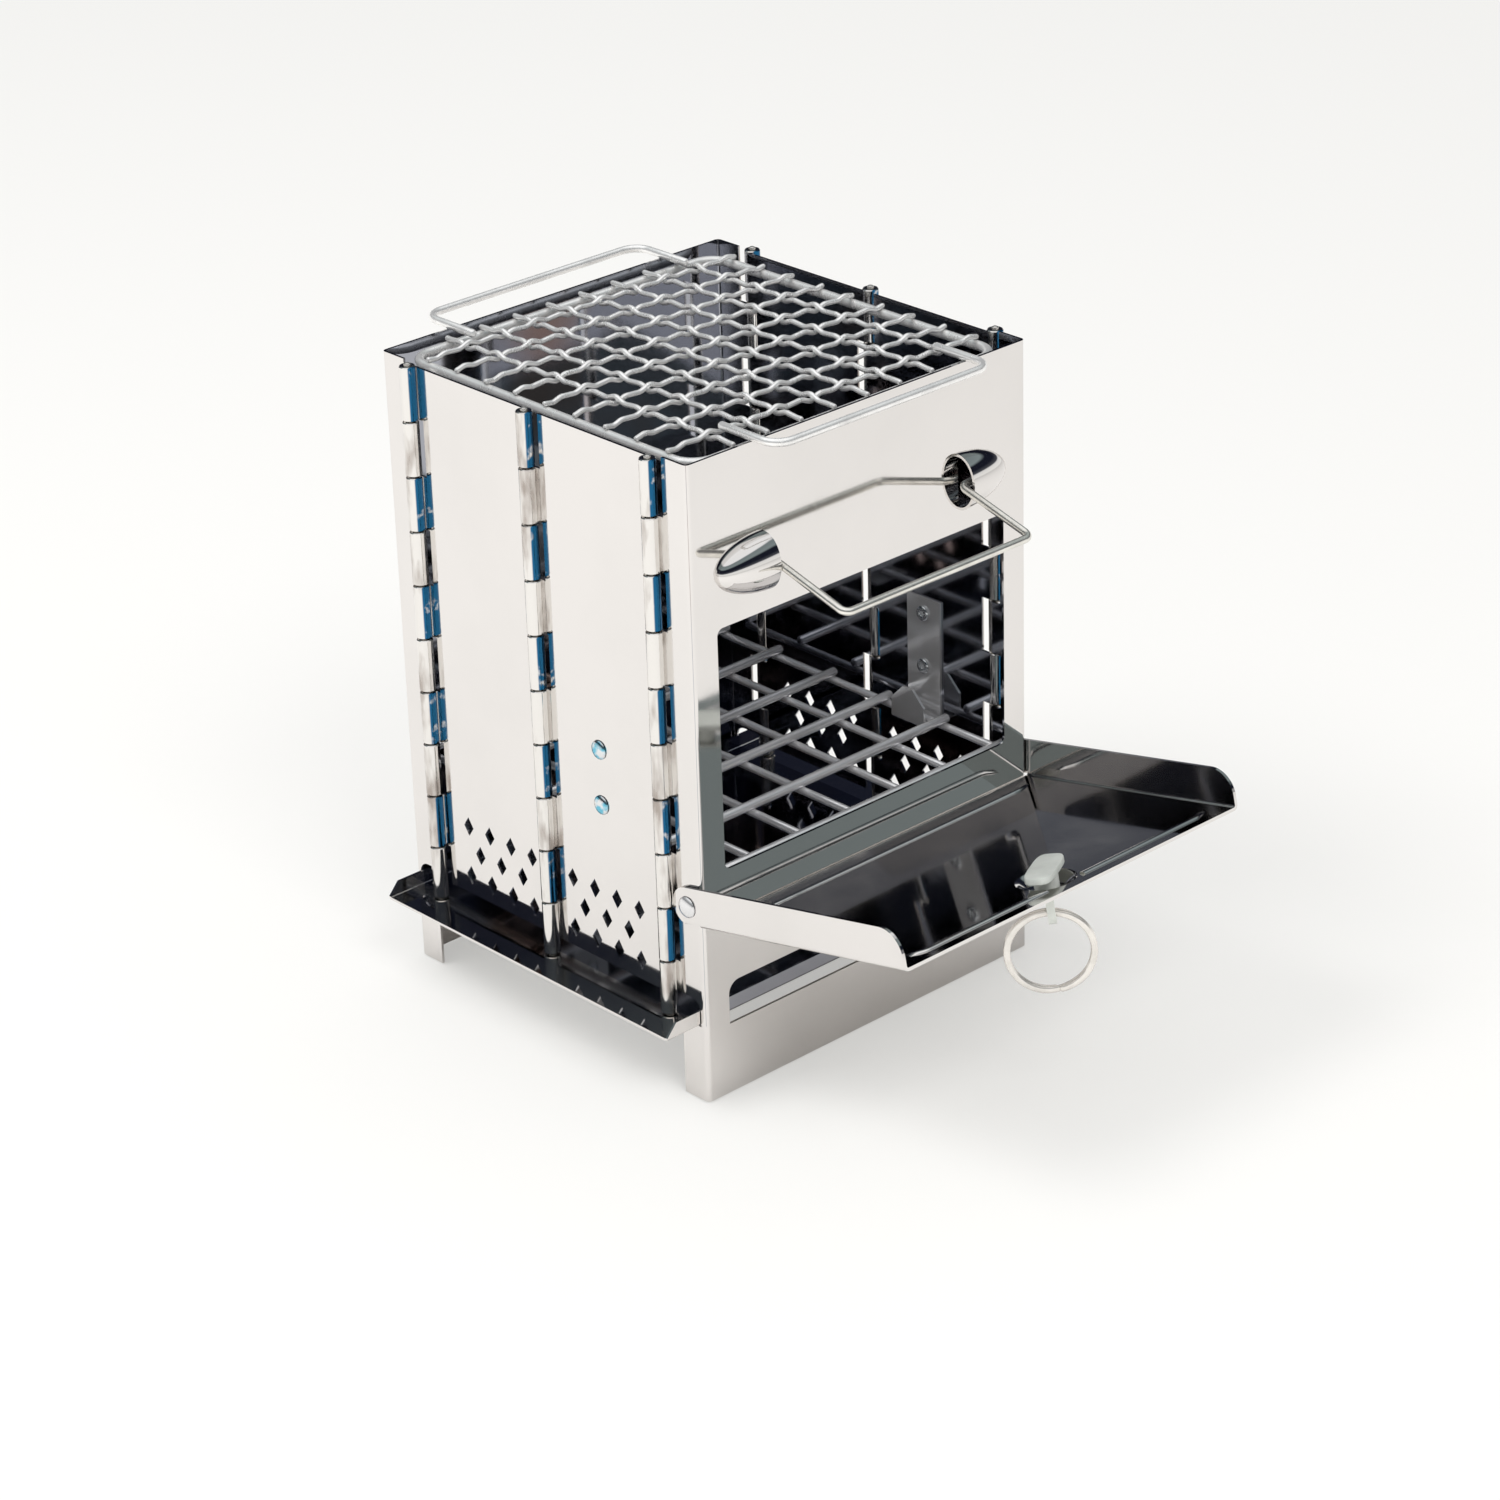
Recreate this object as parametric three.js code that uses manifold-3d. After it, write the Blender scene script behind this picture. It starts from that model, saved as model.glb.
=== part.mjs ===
// Folding rocket stove in bright stainless sheet, millimetres, +Z up, front facing -Y.
// A front panel and a back panel are joined on each side by two wall leaves on piano hinges.
// A feed flap, a carrying bail, a lift-off cooking grate, a fuel grid and a sliding ash tray
// complete it. The origin is under the centre of the whole object, on the ground.

import * as THREE from 'three';
import { mergeVertices } from 'three/addons/utils/BufferGeometryUtils.js';
import Module from 'manifold-3d';

const wasm = await Module();
wasm.setup();

// ---------------------------------------------------------------- driving dimensions

const bodyWidth = 134;            // over the outer faces of the side walls
const bodyDepth = 132;            // over the outer faces of the front and back panels
const bodyHeight = 200;           // ground to the top edge of the panels
const sheet = 0.8;                // wall and panel sheet
const seatGap = 0.3;              // play between a resting piece and its seat
const weldTolerance = 0.002;      // vertices closer than this are one

// piano hinges
const knuckleCount = 10;
const knuckleRadius = 2.5;
const knuckleSplit = 0.5;         // gap between neighbouring knuckles
const boreRadius = 1.35;
const pinRadius = 1.1;
const pinProud = 0.7;             // pin standing out above the top knuckle
const knuckleSides = 8;
const hingeInset = 13.8;          // panel face to the axis of the hinge beside it
const hingeBottom = 25.8;
const hingeTopDrop = 0.4;         // top knuckle below the panel top
const notchPlay = 1.3;            // sheet edge to the neighbour's knuckle

// wall leaves
const leafTopDrop = 1.2;
const leafBottom = 30.6;
const ventRows = [4, 3, 4];
const ventWidth = 4.4;
const ventHeight = 6.4;
const ventPitch = 9.8;
const ventRowPitch = 8.25;
const ventLowest = 37;            // centre height of the lowest vent row
const ventFromMiddle = 24;        // centre of the vent field to the middle hinge

// front panel openings
const doorWidth = 115;
const doorBottom = 72.7;
const doorTop = 148;
const doorCorner = 2.2;
const airWidth = 115.4;
const airBottom = 22.6;
const airTop = 36.2;
const airCorner = 4;

// ash tray and the flange notches that carry it
const traySheet = 0.8;
const trayOverhang = 13;          // past the side walls
const trayLip = 5;                // height over its upturned front and rear lips
const trayLipChamfer = 3.6;
const notchHeight = 8.6;
const notchDepth = 8;             // into the flange from its free edge
const notchCorner = 4;

// fuel grid: bars across the stove welded on top of bars along it
const crossBarCount = 6;
const crossBarRadius = 1.5;
const crossBarPitch = 24.8;
const longBarCount = 7;
const longBarRadius = 1.25;
const longBarPitch = 20.3;
const gridSideGap = 3.6;          // cross bar ends to the side walls
const gridEndGap = 2.2;           // long bar ends to the panels
const weldSink = 0.3;             // depth of one bar in the other at a weld
const gridSeat = 66.2;            // height of the shelves that carry the grid

// brackets for the fuel grid
const bracketSheet = 0.8;
const bracketWidth = 14;
const bracketTop = 105.5;
const bracketFromFront = 42;      // bracket centre to the front panel face
const lipHeight = 12;
const lipChamfer = 5;
const shelfReach = 7.4;           // wall face to the inside of the lip
const rivetSpacing = 17.8;
const rivetDrop = 5.2;            // bracket top to the upper rivet
const rivetRadius = 1.5;
const rivetHeadRadius = 3;
const rivetHeadHeight = 1.1;
const rivetTailRadius = 2.4;
const rivetTailHeight = 0.9;
const rivetHollow = 0.8;
const rivetPlay = 0.12;
const tailRounding = 0.8;         // rolled end of a hollow tail, as a share of its radius

// cooking grate
const frameRadius = 1.5;
const frameWidth = 124;
const frameDepth = 126;
const frameCorner = 9;
const meshWire = 1.6;
const meshCountAcross = 8;
const meshCountAlong = 9;
const meshPitch = 13;
const meshOverlap = 1;            // wire ends past the middle of the frame wire
const handleRadius = 1.25;
const handleWidth = 87;
const handleReach = 11.5;         // handle bar beyond the panel face
const handleTail = 13;            // handle ends inside the panel face
const handleBend = 5;

// bail handle and the stamped lugs that hold it
const bailRadius = 1.2;
const bailHeight = 163.6;
const bailOffset = 2.4;           // pivot axis in front of the panel face
const bailLeg = 29.3;
const bailDroop = 15.5;           // degrees below level at rest
const bailHalfWidth = 37.1;
const bailPin = 12;               // straight end inside each lug
const bailBend = 4;
const lugLength = 18.6;
const lugHeight = 17.4;
const lugBulge = 6.8;
const lugMouthGap = 0.3;

// feed flap
const flapSheet = 1;
const flapPivotInset = 4.8;       // panel face to the pivot
const flapPivotHeight = 63.2;
const flapPivotRise = 5.4;        // pivot above the inner face of the flap plate
const flapLength = 89;            // pivot to the front edge
const flapSideHeight = 12.3;
const flapHeel = 6;               // radius of the side plates round the pivot
const flapCorner = 8;
const flapOpenAngle = 12;         // degrees above level when open
const flapSideGap = 0.3;
const flapStopGap = 0.3;          // rear edge of the plate to the panel that stops it
const beadRadius = 0.9;
const beadRearInset = 8;
const beadFrontInset = 5;
const beadHalfLength = 57;
const flapRivetRadius = 1.75;
const flapRivetHead = 3.3;
const flapRivetHeadHeight = 1.3;
const flapRivetTail = 2.7;
const flapRivetTailHeight = 0.8;

// quarter-turn latch and split ring
const latchInset = 12.2;          // front edge of the flap to the latch axis
const latchTurn = 30;             // degrees from the flap's width, as it rests
const dishRadius = 9;
const dishFloor = 5.5;
const dishDepth = 2.6;
const stemRadius = 2.9;
const stemPlay = 0.2;
const stemEndRadius = 2.03;       // riveted end of the stem inside the cam
const stemSink = 0.6;             // overlap of the stem's own steps
const hubRadius = 3.7;
const camLength = 21;
const camWidth = 8.6;
const camSheet = 2.2;
const camNose = 2.8;
const camThroat = 1.9;            // flap's inner face to the cam's underside
const eyeWidth = 9;
const eyeSheet = 2.4;
const eyeHoleRadius = 2.7;
const eyeLength = 9.4;
const ringRadius = 12.5;          // to the middle of its wire
const ringWireWide = 2.4;
const ringWireDeep = 2;
const ringRounding = 0.35;        // flat part of each side of the ring wire's section
const ringTurn = -43;             // degrees from the stove's width to the eye's hole
const ringHang = 1.1;             // ring wire below the middle of the hole

// ---------------------------------------------------------------- derived places

const halfWidth = bodyWidth / 2;
const halfDepth = bodyDepth / 2;
const innerX = halfWidth - sheet;
const innerY = halfDepth - sheet;
const pinX = innerX + knuckleRadius;
const hingeY = halfDepth - hingeInset;
const hingeTop = bodyHeight - hingeTopDrop;
const knucklePitch = (hingeTop - hingeBottom) / knuckleCount;
const notchSetback = knuckleRadius + notchPlay;
const flangeEnd = hingeY + notchSetback;
const trayTop = hingeBottom - seatGap;
const trayBottom = trayTop - traySheet;
const bracketY = halfDepth - bracketFromFront;
const rivetHeights = [bracketTop - rivetDrop, bracketTop - rivetDrop - rivetSpacing];
const flapOuterX = halfWidth + flapSideGap + flapSheet;

// heights of the latch from the outer face of the flap plate
const latchY = -flapLength + latchInset;
const camBottom = flapSheet + camThroat;
const dishTop = -dishDepth + flapSheet;
const stemEnd = camBottom + camSheet / 2 - 2 * seatGap;
const eyeTop = -dishDepth - seatGap;
const eyeMiddle = eyeTop - eyeLength + eyeWidth / 2;

// ---------------------------------------------------------------- materials

function metal(color, roughness) {
  return new THREE.MeshStandardMaterial({ color, roughness, metalness: 1 });
}

const polishedSteel = metal(0xe2dfdb, 0.06);
const wireSteel = metal(0xc9c7c2, 0.2);
const castSteel = metal(0xb4b5b0, 0.45);
const ringNickel = metal(0xcfcac2, 0.15);

// ---------------------------------------------------------------- shape helpers

// a closed geometry as a manifold solid
function toSolid(geometry) {
  let plain = geometry.clone();
  plain.deleteAttribute('normal');
  plain.deleteAttribute('uv');
  plain = mergeVertices(plain, 1e-4);
  return new wasm.Manifold(new wasm.Mesh({
    numProp: 3,
    vertProperties: Float32Array.from(plain.attributes.position.array),
    triVerts: Uint32Array.from(plain.index.array),
  }));
}

// a manifold solid as a three.js geometry
function toGeometry(solid) {
  const { vertProperties, triVerts } = solid.simplify(weldTolerance).getMesh();
  const geometry = new THREE.BufferGeometry();
  geometry.setAttribute('position', new THREE.BufferAttribute(vertProperties, 3));
  geometry.setIndex(new THREE.BufferAttribute(triVerts, 1));
  return geometry;
}

function joined(first, ...others) {
  return others.reduce((whole, geometry) => whole.add(toSolid(geometry)), toSolid(first));
}

function cut(solid, ...cutters) {
  return cutters.reduce((whole, geometry) => whole.subtract(toSolid(geometry)), solid);
}

function box(x0, x1, y0, y1, z0, z1) {
  return new THREE.BoxGeometry(x1 - x0, y1 - y0, z1 - z0)
    .translate((x0 + x1) / 2, (y0 + y1) / 2, (z0 + z1) / 2);
}

// a round bar along 'x', 'y' or 'z' between two stations
function bar(axis, radius, from, to, sides) {
  const geometry = new THREE.CylinderGeometry(radius, radius, to - from, sides);
  geometry.translate(0, (from + to) / 2, 0);
  if (axis === 'x') geometry.rotateZ(-Math.PI / 2);
  if (axis === 'z') geometry.rotateX(Math.PI / 2);
  return geometry;
}

function polygon(points) {
  return new THREE.Shape(points.map(([x, y]) => new THREE.Vector2(x, y)));
}

// a rectangle with one radius at its lower corners and one at its upper corners
function roundedRectangle(x0, x1, y0, y1, lower, upper, ShapeType = THREE.Shape) {
  const shape = new ShapeType();
  shape.moveTo(x0 + lower, y0);
  shape.lineTo(x1 - lower, y0);
  if (lower) shape.absarc(x1 - lower, y0 + lower, lower, -Math.PI / 2, 0);
  shape.lineTo(x1, y1 - upper);
  if (upper) shape.absarc(x1 - upper, y1 - upper, upper, 0, Math.PI / 2);
  shape.lineTo(x0 + upper, y1);
  if (upper) shape.absarc(x0 + upper, y1 - upper, upper, Math.PI / 2, Math.PI);
  shape.lineTo(x0, y0 + lower);
  if (lower) shape.absarc(x0 + lower, y0 + lower, lower, Math.PI, 1.5 * Math.PI);
  return shape;
}

function plate(shape, thickness, curveSegments = 4) {
  return new THREE.ExtrudeGeometry(shape, { depth: thickness, bevelEnabled: false, curveSegments });
}

// a plate drawn in (x, z), filling y0 to y0 + thickness
function frontPlate(shape, y0, thickness, curveSegments) {
  return plate(shape, thickness, curveSegments).rotateX(Math.PI / 2).translate(0, y0 + thickness, 0);
}

// a plate drawn in (y, z), filling x0 to x0 + thickness
function sidePlate(shape, x0, thickness, curveSegments) {
  const turn = new THREE.Matrix4().makeBasis(
    new THREE.Vector3(0, 1, 0), new THREE.Vector3(0, 0, 1), new THREE.Vector3(1, 0, 0));
  return plate(shape, thickness, curveSegments).applyMatrix4(turn).translate(x0, 0, 0);
}

// round wire through corner points, each corner bent to the radius
function wire(corners, radius, bend, steps, sides = 8) {
  const points = corners.map((corner) => new THREE.Vector3(...corner));
  const path = new THREE.CurvePath();
  let start = points[0];
  points.slice(1, -1).forEach((corner, i) => {
    const entry = corner.clone().addScaledVector(points[i].clone().sub(corner).normalize(), bend);
    const exit = corner.clone().addScaledVector(points[i + 2].clone().sub(corner).normalize(), bend);
    path.add(new THREE.LineCurve3(start, entry));
    path.add(new THREE.QuadraticBezierCurve3(entry, corner, exit));
    start = exit;
  });
  path.add(new THREE.LineCurve3(start, points.at(-1)));
  const section = new THREE.Shape();
  section.absarc(0, 0, radius, 0, 2 * Math.PI);
  return new THREE.ExtrudeGeometry(section, {
    steps, extrudePath: path, curveSegments: sides, bevelEnabled: false,
  });
}

const stove = new THREE.Group();

function addPiece(parent, name, geometry, material) {
  const mesh = new THREE.Mesh(geometry, material.clone());
  mesh.name = name;
  parent.add(mesh);
  return mesh;
}

// ---------------------------------------------------------------- piano hinges

// knuckles number from the bottom; the even ones belong to one sheet, the odd ones to the other
function knuckleSpans(parity) {
  const spans = [];
  for (let i = parity; i < knuckleCount; i += 2) {
    spans.push([
      hingeBottom + i * knucklePitch + knuckleSplit / 2,
      hingeBottom + (i + 1) * knucklePitch - knuckleSplit / 2,
    ]);
  }
  return spans;
}

// rolled barrels of one sheet about the axis at y
function knuckles(y, parity) {
  const flats = knuckleRadius / Math.cos(Math.PI / knuckleSides);
  const section = new THREE.Shape();
  const bore = new THREE.Path();
  for (let i = 0; i < knuckleSides; i++) {
    const turn = (2 * Math.PI * (i + 0.5)) / knuckleSides;
    section[i ? 'lineTo' : 'moveTo'](pinX + flats * Math.cos(turn), y + flats * Math.sin(turn));
    bore[i ? 'lineTo' : 'moveTo'](pinX + boreRadius * Math.cos(turn), y + boreRadius * Math.sin(turn));
  }
  section.holes.push(bore);
  return knuckleSpans(parity).map(([low, high]) => plate(section, high - low).translate(0, 0, low));
}

// outline of a sheet edge beside the axis at y, upwards: tabs reach the axis at the sheet's
// own knuckles, and the edge stands back from it elsewhere, on the side given by toward
function hingeEdge(y, parity, toward, lowest, highest) {
  const back = y + toward * notchSetback;
  const points = [];
  for (const [low, high] of knuckleSpans(parity)) {
    const bottom = Math.max(low, lowest);
    const top = Math.min(high, highest);
    points.push([back, bottom], [y, bottom], [y, top], [back, top]);
  }
  return points;
}

function hingePin(y) {
  return bar('z', pinRadius, hingeBottom, hingeTop + pinProud, 10).translate(pinX, y, 0);
}

// ---------------------------------------------------------------- panels

// the right-hand flange of the front panel: hinge edge, feet and the notch for the ash tray
function panelFlange() {
  const outline = new THREE.Shape();
  const floor = trayBottom - seatGap;
  const deep = -flangeEnd - notchDepth;
  outline.moveTo(-halfDepth, 0);
  outline.lineTo(-flangeEnd, 0);
  outline.lineTo(-flangeEnd, floor);
  outline.lineTo(deep, floor);
  outline.lineTo(deep, floor + notchHeight - notchCorner);
  outline.absarc(deep + notchCorner, floor + notchHeight - notchCorner, notchCorner,
    Math.PI, Math.PI / 2, true);
  outline.lineTo(-flangeEnd, floor + notchHeight);
  for (const [y, z] of hingeEdge(-hingeY, 0, -1, floor + notchHeight, bodyHeight)) {
    outline.lineTo(y, z);
  }
  outline.lineTo(-flangeEnd, bodyHeight);
  outline.lineTo(-halfDepth, bodyHeight);
  return sidePlate(outline, innerX, sheet);
}

// one side of a panel, right of the middle: flange and knuckles
function panelSide() {
  return joined(panelFlange(), ...knuckles(-hingeY, 0));
}

function panelFace() {
  return polygon([
    [-halfWidth, 0], [halfWidth, 0], [halfWidth, bodyHeight], [-halfWidth, bodyHeight],
  ]);
}

function panelBlank(face) {
  const side = panelSide();
  return toSolid(frontPlate(face, -halfDepth, sheet)).add(side).add(side.mirror([1, 0, 0]));
}

function flapRivetHole() {
  return bar('x', flapRivetRadius + rivetPlay, -halfWidth - 1, halfWidth + 1, 12)
    .translate(0, -halfDepth + flapPivotInset, flapPivotHeight);
}

// the right-hand lug: a quarter of an ellipsoid pressed out of the panel face, open towards
// the middle, as the solid to add and the hollow to take away
function lug() {
  const mouth = bailHalfWidth + bailRadius + lugMouthGap;
  const quarter = (inset, from, back) => {
    const ball = new THREE.SphereGeometry(1, 16, 8)
      .scale(lugLength - inset, lugBulge - inset, lugHeight / 2 - inset)
      .translate(mouth, -halfDepth, bailHeight);
    const keep = box(from, halfWidth, -halfDepth - 2 * lugBulge, back, 0, bodyHeight);
    return toSolid(ball).intersect(toSolid(keep));
  };
  return {
    skin: quarter(0, mouth, -(halfDepth + innerY) / 2),
    hollow: quarter(sheet, mouth - sheet, -innerY + sheet),
  };
}

function makeFrontPanel() {
  const face = panelFace();
  face.holes.push(
    roundedRectangle(-doorWidth / 2, doorWidth / 2, doorBottom, doorTop,
      doorCorner, doorCorner, THREE.Path),
    roundedRectangle(-airWidth / 2, airWidth / 2, airBottom, airTop, 0, airCorner, THREE.Path),
  );
  const { skin, hollow } = lug();
  const panel = cut(panelBlank(face), flapRivetHole())
    .add(skin)
    .add(skin.mirror([1, 0, 0]))
    .subtract(hollow)
    .subtract(hollow.mirror([1, 0, 0]));
  addPiece(stove, 'front_panel', toGeometry(panel), polishedSteel);
}

function makeBackPanel() {
  const holes = rivetHeights.map((height) =>
    bar('y', rivetRadius + rivetPlay, -halfDepth - 1, -innerY + 1, 10).translate(0, 0, height));
  const panel = cut(panelBlank(panelFace()), ...holes).mirror([0, 1, 0]);
  addPiece(stove, 'back_panel', toGeometry(panel), polishedSteel);
}

// ---------------------------------------------------------------- wall leaves

function vents(centre) {
  return ventRows.flatMap((count, row) => {
    const height = ventLowest + row * ventRowPitch;
    return Array.from({ length: count }, (_, i) => {
      const y = centre + (i - (count - 1) / 2) * ventPitch;
      return [[y - ventWidth / 2, height], [y, height + ventHeight / 2],
        [y + ventWidth / 2, height], [y, height - ventHeight / 2]];
    });
  });
}

// a right-hand leaf between the hinge axes at y0 and y1; parity picks its knuckles on each
function leaf(y0, parity0, y1, parity1, ventCentre, rivetY) {
  const top = bodyHeight - leafTopDrop;
  const outline = polygon([
    [y0 + notchSetback, leafBottom], [y1 - notchSetback, leafBottom],
    ...hingeEdge(y1, parity1, -1, leafBottom, top),
    [y1 - notchSetback, top], [y0 + notchSetback, top],
    ...hingeEdge(y0, parity0, 1, leafBottom, top).reverse(),
  ]);
  for (const vent of vents(ventCentre)) {
    outline.holes.push(new THREE.Path(vent.map(([y, z]) => new THREE.Vector2(y, z))));
  }
  const solid = joined(
    sidePlate(outline, innerX, sheet),
    ...knuckles(y0, parity0), ...knuckles(y1, parity1),
  );
  if (rivetY === undefined) return solid;
  return cut(solid, ...rivetHeights.map((height) =>
    bar('x', rivetRadius + rivetPlay, innerX - 1, halfWidth + 1, 10).translate(0, rivetY, height)));
}

function makeLeaves() {
  const front = leaf(-hingeY, 1, 0, 0, -ventFromMiddle, -bracketY);
  const rear = leaf(0, 1, hingeY, 1, ventFromMiddle);
  addPiece(stove, 'right_front_leaf', toGeometry(front), polishedSteel);
  addPiece(stove, 'right_rear_leaf', toGeometry(rear), polishedSteel);
  addPiece(stove, 'left_front_leaf', toGeometry(front.mirror([1, 0, 0])), polishedSteel);
  addPiece(stove, 'left_rear_leaf', toGeometry(rear.mirror([1, 0, 0])), polishedSteel);
}

function makeHingePins() {
  const places = { front: -hingeY, middle: 0, rear: hingeY };
  for (const [place, y] of Object.entries(places)) {
    addPiece(stove, `right_${place}_hinge_pin`, hingePin(y), wireSteel);
    addPiece(stove, `left_${place}_hinge_pin`, hingePin(y).translate(-2 * pinX, 0, 0), wireSteel);
  }
}

// ---------------------------------------------------------------- fuel grid and brackets

// strip down a wall at x = face, bent in to a shelf, with an upturned lip where asked for
function bracket(face, withLip) {
  const inside = face - bracketSheet;
  const reach = face - shelfReach;
  const edge = withLip ? reach - bracketSheet : reach;
  const shelf = gridSeat - bracketSheet;
  const profile = [
    [face, shelf], [face, bracketTop], [inside, bracketTop], [inside, gridSeat], [reach, gridSeat],
  ];
  if (withLip) profile.push([reach, shelf + lipHeight], [edge, shelf + lipHeight]);
  profile.push([edge, shelf]);
  let solid = toSolid(frontPlate(polygon(profile), -bracketWidth / 2, bracketWidth));
  if (withLip) {
    const corner = new THREE.CylinderGeometry(lipChamfer, lipChamfer, 4 * bracketSheet, 4)
      .rotateZ(Math.PI / 2)
      .translate(reach, 0, shelf + lipHeight);
    solid = cut(solid,
      corner.clone().translate(0, bracketWidth / 2, 0),
      corner.clone().translate(0, -bracketWidth / 2, 0));
  }
  const holes = rivetHeights.map((height) =>
    bar('x', rivetRadius + rivetPlay, inside - 1, face + 1, 10).translate(0, 0, height));
  return cut(solid, ...holes);
}

// profile of a rivet's domed head, from its crown to its rim
function domeProfile(radius, height, seat) {
  return [[0, seat + height], [radius * 0.6, seat + height * 0.8], [radius, seat]];
}

// a rivet along +x from its profile of [radius, station], head first
function rivetSolid(profile, sides) {
  const points = profile.map(([radius, station]) => new THREE.Vector2(radius, station));
  return new THREE.LatheGeometry(points.reverse(), sides).rotateZ(-Math.PI / 2);
}

// tubular rivet along +x, its head seated on x = grip and its tail on x = 0
function wallRivet(grip) {
  const tail = -rivetTailHeight - seatGap / 2;
  const head = grip + seatGap / 2;
  return rivetSolid([
    ...domeProfile(rivetHeadRadius, rivetHeadHeight, head), [rivetRadius, head],
    [rivetRadius, tail + rivetTailHeight], [rivetTailRadius, tail + rivetTailHeight],
    [rivetTailRadius * tailRounding, tail], [rivetHollow, tail],
    [rivetHollow, grip / 2], [0, grip / 2],
  ], 8);
}

function makeBrackets() {
  const side = bracket(innerX, true).translate([0, -bracketY, 0]);
  addPiece(stove, 'right_grid_bracket', toGeometry(side), polishedSteel);
  addPiece(stove, 'left_grid_bracket', toGeometry(side.mirror([1, 0, 0])), polishedSteel);
  const rear = bracket(innerY, false).rotate([0, 0, 90]);
  addPiece(stove, 'rear_grid_bracket', toGeometry(rear), polishedSteel);
  rivetHeights.forEach((height, i) => {
    const level = ['upper', 'lower'][i];
    const rivet = wallRivet(sheet + bracketSheet).translate(innerX - bracketSheet, 0, 0);
    const right = rivet.clone().translate(0, -bracketY, height);
    addPiece(stove, `right_bracket_rivet_${level}`, right, polishedSteel);
    const left = rivet.clone().rotateZ(Math.PI).translate(0, -bracketY, height);
    addPiece(stove, `left_bracket_rivet_${level}`, left, polishedSteel);
    const back = wallRivet(sheet + bracketSheet).translate(innerY - bracketSheet, 0, 0)
      .rotateZ(Math.PI / 2).translate(0, 0, height);
    addPiece(stove, `rear_bracket_rivet_${level}`, back, polishedSteel);
  });
}

function makeFuelGrid() {
  const longHeight = gridSeat + seatGap + longBarRadius;
  const crossHeight = longHeight + longBarRadius + crossBarRadius - weldSink;
  const longReach = innerY - gridEndGap;
  const crossReach = innerX - gridSideGap;
  const bars = [];
  for (let i = 0; i < longBarCount; i++) {
    const x = (i - (longBarCount - 1) / 2) * longBarPitch;
    bars.push(bar('y', longBarRadius, -longReach, longReach, 8).translate(x, 0, longHeight));
  }
  for (let i = 0; i < crossBarCount; i++) {
    const y = (i - (crossBarCount - 1) / 2) * crossBarPitch;
    bars.push(bar('x', crossBarRadius, -crossReach, crossReach, 8).translate(0, y, crossHeight));
  }
  addPiece(stove, 'fuel_grid', toGeometry(joined(...bars)), wireSteel);
}

// ---------------------------------------------------------------- ash tray

function makeAshTray() {
  const reach = halfWidth + trayOverhang;
  const deep = flangeEnd + notchDepth - seatGap;
  const floor = box(-reach, reach, -deep, deep, trayBottom, trayTop);
  const lipTop = trayBottom + trayLip;
  const lip = polygon([[-reach, trayBottom], [reach, trayBottom],
    [reach - trayLipChamfer, lipTop], [-reach + trayLipChamfer, lipTop]]);
  const tray = joined(floor,
    frontPlate(lip, -deep, traySheet), frontPlate(lip, deep - traySheet, traySheet));
  addPiece(stove, 'ash_tray', toGeometry(tray), polishedSteel);
}

// ---------------------------------------------------------------- cooking grate

function makeGrate() {
  const handleZ = bodyHeight + seatGap + handleRadius;
  const meshTop = handleZ - handleRadius - seatGap;
  const meshBottom = meshTop - meshWire;
  const frameZ = meshBottom - seatGap - frameRadius;

  const bevel = frameRadius * (2 - Math.SQRT2);
  const ring = roundedRectangle(-frameWidth / 2 + bevel, frameWidth / 2 - bevel,
    -frameDepth / 2 + bevel, frameDepth / 2 - bevel, frameCorner - bevel, frameCorner - bevel);
  const inset = 2 * frameRadius - bevel;
  const innerCorner = frameCorner - inset;
  ring.holes.push(roundedRectangle(-frameWidth / 2 + inset, frameWidth / 2 - inset,
    -frameDepth / 2 + inset, frameDepth / 2 - inset, innerCorner, innerCorner, THREE.Path));
  const frame = new THREE.ExtrudeGeometry(ring, {
    depth: 2 * (frameRadius - bevel), bevelEnabled: true, bevelThickness: bevel,
    bevelSize: bevel, bevelSegments: 1, curveSegments: 3,
  }).translate(0, 0, frameZ - frameRadius + bevel);
  addPiece(stove, 'grate_frame', toGeometry(toSolid(frame)), wireSteel);

  const reachX = frameWidth / 2 - frameRadius + meshOverlap;
  const reachY = frameDepth / 2 - frameRadius + meshOverlap;
  const at = (i, count) => (i - (count - 1) / 2) * meshPitch;
  const wires = [];
  for (let i = 0; i < meshCountAcross; i++) {
    const x = at(i, meshCountAcross);
    wires.push(box(x - meshWire / 2, x + meshWire / 2, -reachY, reachY, meshBottom, meshTop));
  }
  for (let i = 0; i < meshCountAlong; i++) {
    const y = at(i, meshCountAlong);
    wires.push(box(-reachX, reachX, y - meshWire / 2, y + meshWire / 2, meshBottom, meshTop));
  }
  addPiece(stove, 'grate_mesh', toGeometry(joined(...wires)), wireSteel);

  for (const [name, side] of [['front', -1], ['rear', 1]]) {
    const inner = side * (halfDepth - handleTail);
    const outer = side * (halfDepth + handleReach - handleRadius);
    const x = handleWidth / 2 - handleRadius;
    const corners = [
      [-x, inner, handleZ], [-x, outer, handleZ], [x, outer, handleZ], [x, inner, handleZ],
    ];
    const handle = wire(corners, handleRadius, handleBend, 30, 6);
    addPiece(stove, `grate_${name}_handle`, handle, wireSteel);
  }
}

// ---------------------------------------------------------------- bail handle

function makeBailHandle() {
  const droop = THREE.MathUtils.degToRad(bailDroop);
  const y = -halfDepth - bailOffset;
  const far = [y - bailLeg * Math.cos(droop), bailHeight - bailLeg * Math.sin(droop)];
  const x = bailHalfWidth;
  const corners = [
    [-x - bailPin, y, bailHeight], [-x, y, bailHeight], [-x, ...far],
    [x, ...far], [x, y, bailHeight], [x + bailPin, y, bailHeight],
  ];
  addPiece(stove, 'bail_handle', wire(corners, bailRadius, bailBend / 2, 62, 6), wireSteel);
}

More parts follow.
